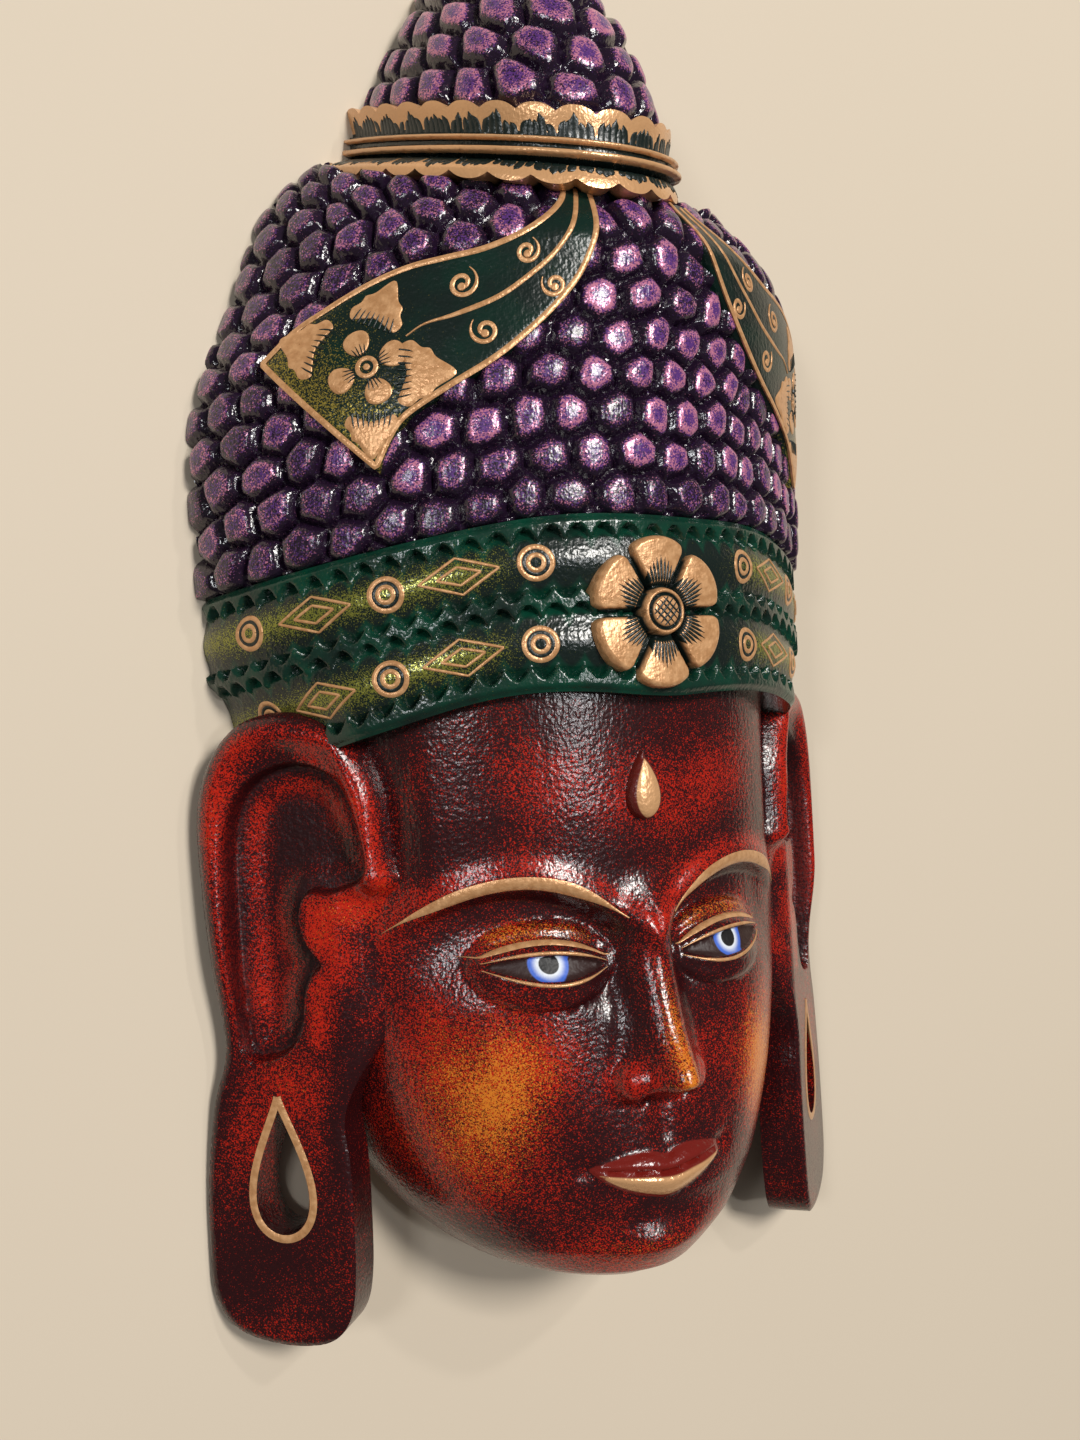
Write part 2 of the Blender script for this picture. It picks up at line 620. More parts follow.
def face_relief(x, y):
    """Sum of brow, sockets, eyes, nose, lips, cheeks and chin over the oval base, fading out at the
    sides."""
    side = np.abs(x)
    below = brow_line(side) - y
    brow_fade = 1 - ease(60, 88, side)
    socket = -8 * brow_fade * ease(5, 17, side) * ease(0, 6, below) * (1 - ease(10, 40, below))
    ridge = 2.2 * brow_fade * bell(below + 2.5, 5)
    chin = 6 * bell(x, 20) * bell(y - CHIN - 17, 13)
    under_lip = -2.6 * bell(x, 22) * bell(y - MOUTH_Y + 17, 6)
    cheeks = 4 * bell(side - 47, 25) * bell(y - NOSE_BASE - 12, 30)
    temple = -13 * ease(66, 84, side) * bell(y + 76, 26)
    features = eye_relief(side, y) + nose_relief(side, y) + mouth_relief(x, y)
    return (1 - ease(76, 100, side)) * (socket + ridge + chin + under_lip + cheeks + features) + temple


def face_surface(x, y):
    """Front of the face over a place in plan: the oval section at that level plus the relief."""
    half, depth = face_section(y)
    lift = jaw_lift(y)
    slope = np.sqrt(np.clip(1 - (x / half) ** 2, 0, 1))
    return np.stack([x, y + 0 * x, lift + (depth - lift) * slope + face_relief(x, y) * slope], axis=-1)


def face_paint(x, y):
    """Paint masks of the face: red and amber glow, depth inside the eye opening and the lips in
    millimetres, and distance from the middle of the iris."""
    side = np.abs(x)
    below = brow_line(side) - y
    upper, lower, fold, along = eye_lines(side)
    line, top, low = lip_lines(x)[:3]
    red = 0.8 * bell(x, 60) * bell(y + 68, 16)
    red += 0.8 * bell(below + 6, 4.5) * (1 - ease(55, 86, side))
    red += 1.0 * bell(x, 42) * bell(y - CHIN - 8, 18)
    red += 0.8 * bell(side - 92, 22) * bell(y + 122, 32)
    red += 0.9 * bell(side - 15, 7) * bell(y - NOSE_TIP, 8)
    red += 1.1 * bell(side - 54, 27) * bell(y - NOSE_BASE - 2, 35)
    red += 0.8 * bell(x, 9) * bell(y - NOSE_TIP - 18, 30)
    red += 0.55 * bell(y - fold - 2, 6) * (1 - ease(0.9, 1.4, np.abs(along)))
    amber = 0.95 * bell(side - 54, 18) * bell(y - NOSE_BASE - 2, 25)
    amber += 0.62 * bell(y - fold - 2, 4) * (1 - ease(0.7, 1.1, np.abs(along)))
    amber += 0.85 * bell(x, 5) * ease(NOSE_BASE, NOSE_TIP, y) * (1 - ease(NOSE_TIP + 12, NOSE_ROOT, y))
    amber += 0.45 * bell(x, 22) * bell(y - CHIN - 16, 9)
    opening = np.where(np.abs(along) < 1, np.minimum(upper - y, y - lower), -5)
    lips = np.where(np.abs(x) < MOUTH_HALF, np.minimum(top - y, y - low), -5)
    low_lip = np.where(np.abs(x) < MOUTH_HALF, np.minimum(line - y, y - low), -5)
    iris = np.hypot(side - EYE_X - 0.5, (y - EYE_Y - 1.0) * 1.05)
    glow = {"red": np.minimum(red, 1), "amber": np.minimum(amber, 1)}
    return {**glow, "opening": opening, "lips": lips, "low_lip": low_lip, "iris": iris}


def make_face(materials):
    """Face from chin to under the headband: rows across the front, denser in the middle, and a hollow
    back."""
    chin = np.linspace(CHIN + 0.4, CHIN + 5, 8)
    under_band = np.linspace(-22, 6, 5)
    y = np.concatenate([chin, np.linspace(CHIN + 6, -30, 196), under_band])[:, None]
    across = np.linspace(-1, 1, 251)[None, :]
    half = face_section(y)[0]
    x = half * np.sin(np.pi / 2 * (0.66 * across + 0.34 * across**3))
    back = back_points(half, y, jaw_lift(y))
    return close_back("carved_face", face_surface(x, y), back, face_paint(x, y), materials)


BAND_ANGLES, BAND_GIRTHS = girth_table(BAND_HALF_WIDTH, BAND_DEPTH, HEAD_ROUNDNESS)


def notch(girth, shift):
    """Place within one gouge cut, from -1 to 1, with 0 at the middle of the cut."""
    return 2 * np.mod(girth / NOTCH_PITCH + shift, 1) - 1


def cut_floor(gap, place):
    """Floor of a gouge cut by the distance from its edge: deep in the middle of the cut and rising
    outward."""
    return mix(1.2, 5.0, np.abs(place) ** 1.6) + 0.9 * np.maximum(gap, 0)


def tier_middles(top, middle, low):
    """Levels of the middles of the headband's two tiers."""
    return (top + middle) / 2 - 1.0, (middle + low) / 2 + 1.0


def tooth_edges(girth, top, middle, low):
    """Levels of the gouged edges of the headband's borders: below the top one, above and below the middle
    one and above the low one."""
    tooth = np.abs(notch(girth, 0.0))
    other = np.abs(notch(girth, 0.5))
    over_middle = middle + 1.0 + 3.6 * other**1.8
    under_middle = middle - 1.0 - 4.2 * tooth**2
    return top - 3.6 - 5.0 * tooth**2, over_middle, under_middle, low + 4.6 + 4.4 * other**1.8


def band_relief(girth, x, y):
    """Height of the headband: raised borders whose edges are gouged into teeth, and smooth swelling tiers
    between them. The low corners lean back behind the ears."""
    top, middle, low = band_lines(x)
    tooth = notch(girth, 0.0)
    other = notch(girth, 0.5)
    edge_top, over_middle, under_middle, edge_low = tooth_edges(girth, top, middle, low)
    upper, lower = tier_middles(top, middle, low)
    swell = 3.8 + 2.4 * np.maximum(bell(y - upper, 8), bell(y - lower, 8))
    upper_floor = np.minimum(cut_floor(edge_top - y, tooth), cut_floor(y - over_middle, other))
    lower_floor = np.minimum(cut_floor(under_middle - y, tooth), cut_floor(y - edge_low, other))
    tier = np.minimum(swell, np.where(y > middle, upper_floor, lower_floor))
    raised = np.maximum.reduce([
        ease(-0.5, 0.5, y - edge_top),
        ease(-0.5, 0.5, np.minimum(over_middle - y, y - under_middle)),
        ease(-0.5, 0.5, edge_low - y),
    ])
    rounding = 1.8 * (1 - ease(0, 2.6, top - y)) + 1.8 * (1 - ease(0, 2.6, y - low))
    behind_ear = 9.0 * ease(82, 104, np.abs(x)) * ease(-22, -42, y)
    return mix(tier, BAND_RAISED, raised) - rounding - behind_ear


def band_surface(girth, y):
    """Headband at a distance around it and a level: the oval section pushed out by the relief."""
    angle = np.interp(girth, BAND_GIRTHS, BAND_ANGLES)
    relief = band_relief(girth, band_plan(angle), y)
    x, z = on_oval(BAND_HALF_WIDTH, BAND_DEPTH, angle, relief, HEAD_ROUNDNESS)
    return np.stack([x, y + 0 * x, np.maximum(z, 0)], axis=-1)


def make_band(materials):
    """Headband: its outer profile from top edge to low edge, closed by a root, carried around the head."""
    girth = np.linspace(BAND_GIRTHS[0], BAND_GIRTHS[-1], BAND_ROWS)[:, None]
    angle = np.interp(girth, BAND_GIRTHS, BAND_ANGLES)
    top, middle, low = band_lines(band_plan(angle))
    y = mix(top, low, np.linspace(0, 1, BAND_COLUMNS)[None, :])
    outer = band_surface(girth + 0 * y, y)
    root_y = np.concatenate([low, top], axis=1)
    root_x, root_z = on_oval(BAND_HALF_WIDTH, BAND_DEPTH, angle + 0 * root_y, -BAND_ROOT, HEAD_ROUNDNESS)
    root = np.stack([root_x, root_y, np.maximum(root_z, 0)], axis=-1)
    upper, lower = tier_middles(top, middle, low)
    spray = np.maximum(bell(y - upper, 6.5), bell(y - lower, 6.5)) * ease(28, 60, np.abs(girth))
    edge_top, over_middle, under_middle, edge_low = tooth_edges(girth, top, middle, low)
    upper_tier = ease(0, 2, np.minimum(edge_top - 2.4 - y, y - over_middle - 2.0))
    lower_tier = ease(0, 2, np.minimum(under_middle - 2.4 - y, y - edge_low - 2.4))
    border = 1 - np.maximum(upper_tier, lower_tier)
    fields = back_fields({"spray": spray, "border": border}, 2)
    return stack_loops("headband", np.concatenate([outer, root], axis=1), fields, materials)


def ring_offset(up):
    """Profile of the crown rings by height: a flared leaf collar, two rolls with a groove, an upper leaf
    collar."""
    lower = mix(4.4, 5.4, ease(-4, -11, up))
    undercut = -2.4 * bell(up + 4.2, 0.6)
    rolls = 8.0 * np.exp(-((up - LOWER_ROLL) / 1.7) ** 4) + 7.2 * np.exp(-((up - UPPER_ROLL) / 1.3) ** 4)
    upper = mix(3.6, 5.2, ease(4.5, 14, up))
    return np.where(up < -3.9, lower, np.where(up > 4.0, upper, np.maximum(rolls, 4.8))) + undercut


RING_ANGLES, RING_GIRTHS = girth_table(RING_HALF_WIDTH + 6, RING_DEPTH + 6)


def ring_surface(girth, up):
    """Crown rings at a distance around and a height: the profile on an oval tilted so that its front sits
    lower. The lower collar flares most on the left."""
    angle = np.interp(girth, RING_GIRTHS, RING_ANGLES)
    half = RING_HALF_WIDTH + RING_FLARE * ease(-2, -9, up) * (0.5 - 0.5 * np.sin(angle))
    x, z = on_oval(half, RING_DEPTH, angle, ring_offset(up))
    level = RING_MIDDLE + up + ring_rise(angle)
    return np.stack([x, level, np.maximum(z, 0)], axis=-1)


def leaf_edges(girth):
    """Heights of the scalloped lower and upper edges of the two leaf collars."""
    lower = np.abs(2 * np.mod(girth / LEAF_PITCH, 1) - 1)
    upper = np.abs(2 * np.mod(girth / LEAF_PITCH + 0.5, 1) - 1)
    return -12.0 + 2.6 * lower**2.4, 14.6 - 2.6 * upper**2.4


def make_rings(materials):
    """Crown rings: one profile between two scalloped edges, closed by a root, carried around the head."""
    girth = np.linspace(RING_GIRTHS[0], RING_GIRTHS[-1], RING_ROWS)[:, None]
    low, high = leaf_edges(girth)
    up = mix(low, high, np.linspace(0, 1, RING_COLUMNS)[None, :])
    outer = ring_surface(girth + 0 * up, up)
    angle = np.interp(girth, RING_GIRTHS, RING_ANGLES)
    root_up = np.concatenate([high, low], axis=1)
    root_x, root_z = on_oval(RING_HALF_WIDTH, RING_DEPTH, angle + 0 * root_up, -RING_ROOT)
    root_y = RING_MIDDLE + root_up + ring_rise(angle)
    root = np.stack([root_x, root_y, np.maximum(root_z, 0)], axis=-1)
    lines = np.maximum(ease(1.5, 1.0, np.abs(up - LOWER_ROLL)), ease(1.1, 0.7, np.abs(up - UPPER_ROLL)))
    leaves = np.maximum(ease(-4.8, -5.2, up), ease(5.2, 5.6, up))
    fields = back_fields({"gilt": np.maximum(lines, leaves)}, 2)
    return stack_loops("crown_rings", np.concatenate([outer, root], axis=1), fields, materials)


HAIR_ANGLES, HAIR_GIRTHS = girth_table(HAIR_HALF_WIDTH, HAIR_DEPTH, HEAD_ROUNDNESS)


def girth_of(x):
    """Distance around the hair from its front to a place in plan."""
    share = np.clip(np.asarray(x, dtype=float) / HAIR_HALF_WIDTH, -1, 1)
    angle = np.arcsin(np.sign(share) * np.abs(share) ** (HEAD_ROUNDNESS / 2))
    return np.interp(angle, HAIR_ANGLES, HAIR_GIRTHS)


def smooth_curve(points, count):
    """Even samples of a smooth curve through a few points: cubic pieces whose slope at each point is that
    of the line between its neighbours."""
    points = np.asarray(points, dtype=float)
    slope = np.gradient(points, axis=0)
    place = np.linspace(0, len(points) - 1, count)
    k = np.minimum(place.astype(int), len(points) - 2)
    t = (place - k)[:, None]
    places = mix(points[k], points[k + 1], 3 * t**2 - 2 * t**3)
    return places + (t**3 - 2 * t**2 + t) * slope[k] + (t**3 - t**2) * slope[k + 1]


def closed_curve(points, count):
    """Even samples of a smooth closed curve through a few points."""
    points = np.asarray(points, dtype=float)
    steps = 40
    around = np.concatenate([points[-3:], points, points[:3]])
    fine = smooth_curve(around, (len(around) - 1) * steps + 1)[3 * steps:(3 + len(points)) * steps + 1]
    distance = walked(fine)
    return at_distances(fine, distance, np.linspace(0, distance[-1], count, endpoint=False))


RIBBON_UPPER = [
    (-19, 131), (-21.5, 125.5), (-28, 119.5), (-37, 113.5), (-48, 109), (-59, 107), (-70, 105), (-81, 100.5),
    (-92.5, 93), (-98.5, 88), (-105.5, 78.5)]
RIBBON_LOWER = [
    (-7, 131), (-7.3, 126), (-10, 111.7), (-15, 99.5), (-22.7, 89.2), (-33, 79), (-43.2, 70.6), (-56, 62.4),
    (-67.4, 54.3), (-72, 47.7), (-76.3, 37.5)]


def ribbon_edges(count):
    """Upper and lower edge of the left ribbon as distance around and level."""
    edges = []
    for points in (RIBBON_UPPER, RIBBON_LOWER):
        curve = smooth_curve(points, count)
        edges.append(np.stack([girth_of(curve[:, 0]), curve[:, 1]], axis=1))
    return edges


def ribbon_surface(side):
    """Surface of a ribbon over the hair, seen as a left one: the hair's oval at a distance around and a
    level, pushed out by the ribbon's lift. The right ribbon sits farther round than the left one's mirror
    image."""
    def surface(girth, y, lift=RIBBON_LIFT):
        """Place at a distance around, turned back by the lean or by the right ribbon's own turn."""
        turn = crown_lean(y) if side > 0 else RIGHT_RIBBON_TURN
        angle = np.interp(girth - turn, HAIR_GIRTHS, HAIR_ANGLES)
        half, depth = hair_section(y)
        x, z = on_oval(half, depth, angle, lift, HEAD_ROUNDNESS)
        return np.stack([x + side * crown_lean(y), y + 0 * x, z], axis=-1)
    return surface


def make_ribbon(name, side, materials):
    """Ribbon: strips across between its two edges, standing up from the hair with rounded rims."""
    upper, lower = ribbon_edges(RIBBON_ROWS)
    across = np.concatenate([[0, 0], np.linspace(0, 1, RIBBON_COLUMNS) * 0.97 + 0.015, [1, 1]])
    wall = [-RIBBON_ROOT, 0.55 * RIBBON_LIFT]
    height = np.concatenate([wall, np.full(RIBBON_COLUMNS, RIBBON_LIFT), wall[::-1]])
    rim = np.minimum(across, 1 - across) * 45
    height[2:-2] -= 1.1 * (1 - ease(0, 3.0, rim[2:-2]))
    along = upper[:, None, :] + (lower - upper)[:, None, :] * across[None, :, None]
    end = np.linspace(0, 1, RIBBON_ROWS)[:, None]
    drop = np.where(height[None, :] > 0, 1.6 * ease(0.985, 1.0, end), 0)
    loops = ribbon_surface(side)(along[..., 0], along[..., 1], height[None, :] - drop)
    loops[..., 0] *= side
    worn = ease(0.6, 1.0, end) * np.ones_like(across)[None, :]
    return stack_loops(name, loops, {"spray": worn}, materials)


EAR_OUTLINE = [
    (67, -86), (65.5, -64), (56, -44.5), (42, -38), (28, -36.5), (14, -41), (3.5, -53), (-1.5, -70),
    (-1.5, -95), (0.5, -122), (3.4, -150), (-2, -169), (-6, -195), (-7, -220), (-6, -234), (0, -244),
    (10, -248.5), (24, LOBE_END), (36, -248), (43, -241), (46, -228), (46.8, -205), (46.6, -188), (46, -171),
    (56, -152), (71, -134), (74, -114), (71, -98),
]
EAR_SHELL = [
    (58.5, -90), (54.5, -69), (47.5, -58.5), (36, -54), (24, -56), (14, -64), (9, -80), (8.2, -112),
    (9.2, -138), (11.5, -152), (20, -153), (28, -149), (32.4, -141), (33.6, -132), (36.4, -125.4), (40, -122),
    (40.2, -121), (35, -114), (33, -105), (36.5, -97.5), (47, -97),
]
EAR_DROP_MIDDLE = (22.0, -189.5)
EAR_DROP_HALF = 22.5
EAR_DROP_WIDTH = 13.6


def drop_outline(count, grow=0.0):
    """Closed drop with a pointed top and a round bottom, grown outward by a distance."""
    turn = np.linspace(0, 2 * np.pi, count, endpoint=False)
    across = EAR_DROP_WIDTH * np.sin(turn) * np.sin(turn / 2) ** 1.5
    drop = np.stack([across, EAR_DROP_HALF * np.cos(turn)], axis=1)
    wider = np.array([1 + grow / 9.5, 1 + grow / EAR_DROP_HALF])
    return np.array(EAR_DROP_MIDDLE) + drop * wider


def inside_distance(points, outline):
    """Distance of each point from a closed outline, positive inside it."""
    points = points[:, None, :]
    after = np.roll(outline, -1, axis=0)
    along = after - outline
    to = points - outline
    share = np.clip(np.einsum("ijk,jk->ij", to, along) / np.maximum(np.sum(along**2, axis=1), 1e-9), 0, 1)
    gap = np.linalg.norm(to - share[..., None] * along, axis=-1).min(axis=1)
    crosses = (outline[:, 1] > points[..., 1]) != (after[:, 1] > points[..., 1])
    climb = np.where(np.abs(along[:, 1]) < 1e-9, 1e-9, along[:, 1])
    reach = outline[:, 0] + to[..., 1] * along[:, 0] / climb
    inside = (crosses & (points[..., 0] < reach)).sum(axis=1) % 2 == 1
    return np.where(inside, gap, -gap)


def ear_height(p, y, outline, shell):
    """Front of the ear over its slab: a rounding at its edge, wide where the rim meets the temple, a
    thick roll along its upper rim, the shell hollow let in with a step at the rim, and a slope that
    carries it into the cheek."""
    points = np.stack([p.ravel(), y.ravel()], axis=1)
    edge = inside_distance(points, outline).reshape(p.shape)
    hollow = inside_distance(points, shell).reshape(p.shape)
    inner = ease(46, 58, p) * ease(-102, -90, y)
    radius = mix(EAR_ROUNDING, EAR_ROOT_ROUNDING, inner)
    near = 0.85 * np.clip(1 - edge / radius, 0, 1)
    rounding = radius * (1 - np.sqrt(1 - near**2))
    upper = ease(-150, -110, y) * (1 - ease(58, 70, p) * ease(-86, -98, y))
    roll = EAR_ROLL * upper * bell(edge - 6.5, 6) * (1 - ease(-3, 3, hollow))
    sunk = EAR_HOLLOW_DEPTH * (0.75 * ease(-0.9, 1.3, hollow) + 0.25 * ease(2, 12, hollow))
    joined = 9.0 * ease(46, 68, p) * ease(-92, -102, y)
    return EAR_THICKNESS - rounding - sunk + roll - joined


def prism(outline, low, high):
    """Upright prism over a closed outline."""
    rows = [np.column_stack([outline, np.full(len(outline), z)]) for z in (low, high)]
    return stack_loops("cutter", np.stack(rows))


def cut_mesh(body, cutters):
    """Points and triangles of a body after each cutter in turn has trimmed it or been taken away from
    it."""
    for cutter, operation in cutters:
        cut = body.modifiers.new("cut", "BOOLEAN")
        cut.object = cutter
        cut.operation = operation
        cut.solver = "MANIFOLD"
    solid = body.evaluated_get(bpy.context.evaluated_depsgraph_get()).to_mesh()
    solid.calc_loop_triangles()
    points = np.empty(len(solid.vertices) * 3)
    solid.vertices.foreach_get("co", points)
    triangles = np.empty(len(solid.loop_triangles) * 3, dtype=np.int32)
    solid.loop_triangles.foreach_get("vertices", triangles)
    for item in [body] + [cutter for cutter, operation in cutters]:
        bpy.data.meshes.remove(item.data)
    return points.reshape(-1, 3) / MM, triangles.reshape(-1, 3)


def ear_place(p, y, t):
    """Place in the mask of a point of the left ear's slab, held above the floor."""
    x = -EAR_EDGE_X + p * np.cos(EAR_TILT) - (t - EAR_THICKNESS) * np.sin(EAR_TILT)
    z = EAR_EDGE_Z + p * np.sin(EAR_TILT) + (t - EAR_THICKNESS) * np.cos(EAR_TILT)
    return np.stack([x, y + 0 * x, np.maximum(z, 0)], axis=-1)


def ear_solid():
    """Left ear in slab coordinates: a block with the ear's front as its top, trimmed to the outline and
    pierced."""
    outline = closed_curve(EAR_OUTLINE, 320)
    shell = closed_curve(EAR_SHELL, 200)
    p, y = np.meshgrid(np.linspace(-10, 78, EAR_COLUMNS), np.linspace(LOBE_END - 4, -32, EAR_ROWS))
    grid = np.stack([p, y, ear_height(p, y, outline, shell)], axis=-1)
    rows, columns = p.shape
    index = np.arange(rows * columns).reshape(rows, columns)
    quads = np.stack([index[:-1, :-1], index[:-1, 1:], index[1:, 1:], index[1:, :-1]], -1).reshape(-1, 4)
    border = np.concatenate([index[0, :-1], index[:-1, -1], index[-1, :0:-1], index[:0:-1, 0]])
    skirt = grid.reshape(-1, 3)[border] * [1, 1, 0] + [0, 0, EAR_BLOCK_FLOOR]
    first = rows * columns
    low = first + np.arange(len(border))
    after = np.roll(np.arange(len(border)), -1)
    walls = np.stack([border, low, low[after], border[after]], -1)
    centre = [[30, -140, EAR_BLOCK_FLOOR]]
    middle = np.full(len(border), first + len(border))
    floor = np.stack([low, middle, low[after]], -1)
    points = np.concatenate([grid.reshape(-1, 3), skirt, centre])
    body = new_object("ear_block", points, np.concatenate([quads, walls]), floor)
    hole = prism(drop_outline(120), -20, 60)
    return cut_mesh(body, [(prism(outline, 0, 40), "INTERSECT"), (hole, "DIFFERENCE")])


def make_ears(materials):
    """Both ears from one carved shape, the right one mirrored, with paint masks by distance from their
    edges."""
    points, triangles = ear_solid()
    p, y, t = points.T
    flat = np.stack([p, y], axis=1)
    edge = inside_distance(flat, closed_curve(EAR_OUTLINE, 160))
    hollow = inside_distance(flat, closed_curve(EAR_SHELL, 120))
    rim = bell(edge - 8, 6) * ease(-165, -120, y)
    dish = bell(hollow - 8, 6) * (1 - ease(20, 36, p) * ease(-70, -90, y)) * ease(-160, -130, y)
    tragus = bell(hollow + 6, 9) * ease(32, 38, p) * ease(-160, -145, y)
    lobe = 0.7 * bell(y + 172, 26) * ease(0, 12, edge) + 0.3 * bell(y + 246, 7)
    red = np.clip(np.maximum.reduce([0.95 * rim, 0.9 * dish, tragus, lobe]), 0, 1) * ease(0.5, 4, edge)
    step = bell(hollow - 0.3, 1.3) * ease(-160, -140, y)
    groove = 0.85 * bell(hollow - 1.8, 1.8)
    wall = bell(hollow - 3.0, 3.6) * ease(26, 34, p) * ease(-84, -96, y)
    floor = 0.75 * ease(6, 13, hollow) * ease(14, 28, p)
    fields = {"red": red, "amber": 0.12 * red, "shade": np.maximum.reduce([step, groove, wall, floor])}
    left = ear_place(p, y, t)
    ears = []
    for name, side in (("ear_left", 1), ("ear_right", -1)):
        placed = left * [side, 1, 1]
        ears.append(new_object(name, placed, np.empty((0, 4)), triangles, fields, materials, sharp=40))
    return ears


def petal_place(turn):
    """Place across a petal by the turn around the flower: 0 on its middle line, 1 at the groove to the
    next."""
    return np.abs(np.mod(turn / (2 * np.pi / PETALS), 1) - 0.5) * 2


def petal_gap(radius, local):
    """Distance from the groove beside a petal."""
    return radius * np.sin(np.pi / PETALS * (1 - local))


def flower_surface(x, y):
    """Front of the flower over a place from its middle: six petals with rounded ends parted by grooves,
    around a domed middle with a ring cut into it."""
    radius = np.hypot(x, y)
    local = petal_place(np.arctan2(y, x))
    groove = 5.0 * (1 - ease(0.5, 1.9, petal_gap(radius, local)))
    petal = 5.0 + 0.8 * radius / FLOWER_RADIUS - 1.1 * local**2 - groove
    dome = 1.3 * np.sqrt(np.clip(1 - (radius / (BOSS_RADIUS - 0.2)) ** 2, 0, 1))
    boss = 6.2 + dome - 1.5 * bell(radius - BOSS_RING, 0.6)
    moat = 2.2 * bell(radius - BOSS_RADIUS - 0.2, 0.9)
    height = mix(boss, petal, ease(BOSS_RADIUS - 1, BOSS_RADIUS, radius)) - moat
    return np.stack([FLOWER_X + x, FLOWER_Y + y, FLOWER_FRONT - 7.0 + height - 0.0035 * x**2], axis=-1)


def make_flower(materials):
    """Flower on the headband: rings of points around its middle, out to the rounded ends of the petals."""
    turn = np.linspace(0, 2 * np.pi, 300, endpoint=False)[None, :]
    local = petal_place(turn)
    edge = FLOWER_RADIUS * (1 - 0.10 * local**2.5 - 0.22 * ease(0.72, 1.0, local) ** 1.5)
    share = np.concatenate([np.linspace(0.02, 0.94, 50), [0.975, 1.0]])[:, None]
    radius = edge * share
    top = flower_surface(radius * np.cos(turn), radius * np.sin(turn))
    top[-2:, :, 2] -= np.array([0.5, 2.2])[:, None]
    foot = top[-1:] - [0, 0, 9]
    gap = np.where(radius < BOSS_RADIUS, 4, petal_gap(radius, local))
    fields = {"radius": np.concatenate([radius, edge]), "gap": np.concatenate([gap, 0 * edge])}
    return stack_loops("band_flower", np.concatenate([top, foot], axis=0), fields, materials)


def make_drop(materials):
    """Drop on the forehead: rows of flat-fronted ovals, round below and pointed above."""
    up = (0.5 - 0.5 * np.cos(np.linspace(0.06, np.pi - 0.06, 60)))[:, None]
    turn = np.linspace(0, 2 * np.pi, 64, endpoint=False)[None, :]
    half = 1.3 * DROP_WIDTH * np.sqrt(up) * (1 - up)
    rise = np.sign(np.sin(turn)) * np.abs(np.sin(turn)) ** 0.6
    depth = 7.5 * np.clip(half / (0.5 * DROP_WIDTH), 0.25, 1) ** 0.35
    x = half * np.sign(np.cos(turn)) * np.abs(np.cos(turn)) ** 0.8
    z = DROP_FRONT - 7.5 + depth * rise
    loops = np.stack([x, DROP_LOW + up * DROP_HEIGHT + 0 * turn, z], axis=-1)
    face = np.clip(half, 0, 9) * (1 - np.abs(np.cos(turn)) ** 0.8)
    return stack_loops("forehead_drop", loops, {"face": face}, materials)


STROKE_STEP = 0.9
STROKE_ACROSS = np.array([-1, -0.55, 0, 0.55, 1, 0.7, -0.7])
STROKE_HEIGHTS = np.array([0.1, 0.8, 1, 0.8, 0.1, -2.5, -2.5])
LEAF_SHARES = np.array([0.04, 0.4, 0.75, 0.93, 1.0, 0.97])
LEAF_HEIGHTS = np.array([1, 1, 1, 0.8, 0.1, -2.5])


def surface_frame(surface, u, v):
    """Points of a surface and its unit normals, from small steps in both directions."""
    step = 0.25
    across = surface(u + step, v) - surface(u - step, v)
    up = surface(u, v + step) - surface(u, v - step)
    normal = np.cross(across, up)
    return surface(u, v), normal / np.maximum(np.linalg.norm(normal, axis=-1, keepdims=True), 1e-9)


class Linework:
    """Painted strokes and leaves gathered into one mesh, each a thin closed body lying on a surface, gold
    or inked."""

    def __init__(self):
        self.points = []
        self.quads = []
        self.caps = []
        self.ink = []
        self.count = 0

    def add(self, loops, ink, sides):
        """Body of stacked loops as it is for side 1 and as its mirror image for side -1."""
        rows, columns = loops.shape[:2]
        quads = ring_faces(rows, columns)
        spoke = np.arange(1, columns - 1)
        last = np.stack([0 * spoke, spoke, spoke + 1], -1)
        caps = np.concatenate([last[:, ::-1], last + (rows - 1) * columns])
        for side in sides:
            self.points.append(loops.reshape(-1, 3) * [side, 1, 1])
            self.quads.append(self.count + quads[:, ::side])
            self.caps.append(self.count + caps[:, ::side])
            self.ink.append(np.full(rows * columns, ink))
            self.count += rows * columns

    def stroke(self, surface, path, width, ends=(0.35, 0.35), lift=0.3, ink=0.0, sides=(1, -1)):
        """Stroke along a path of places on a surface, lens-shaped across and narrowing to its ends."""
        path = np.asarray(path, dtype=float)
        distance = walked(path)
        count = max(int(distance[-1] / STROKE_STEP) + 1, 6)
        path = at_distances(path, distance, np.linspace(0, distance[-1], count))
        heading = np.gradient(path, axis=0)
        heading /= np.linalg.norm(heading, axis=1, keepdims=True)
        beside = np.stack([-heading[:, 1], heading[:, 0]], axis=1)
        t = np.linspace(0, 1, len(path))
        narrowing = mix(ends[0], 1, ease(0, 0.3, t)) * mix(ends[1], 1, ease(0, 0.3, 1 - t))
        reach = 0.5 * width * narrowing[:, None] * STROKE_ACROSS[None, :]
        place = path[:, None, :] + beside[:, None, :] * reach[..., None]
        points, normals = surface_frame(surface, place[..., 0], place[..., 1])
        self.add(points + normals * (lift * STROKE_HEIGHTS)[None, :, None], ink, sides)

    def leaf(self, surface, outline, middle, lift=0.35, ink=0.0, sides=(1, -1)):
        """Filled shape: loops that grow from a middle to a counter-clockwise outline on a surface."""
        place = middle + (outline - middle)[None] * LEAF_SHARES[:, None, None]
        points, normals = surface_frame(surface, place[..., 0], place[..., 1])
        self.add(points + normals * (lift * LEAF_HEIGHTS)[:, None, None], ink, sides)


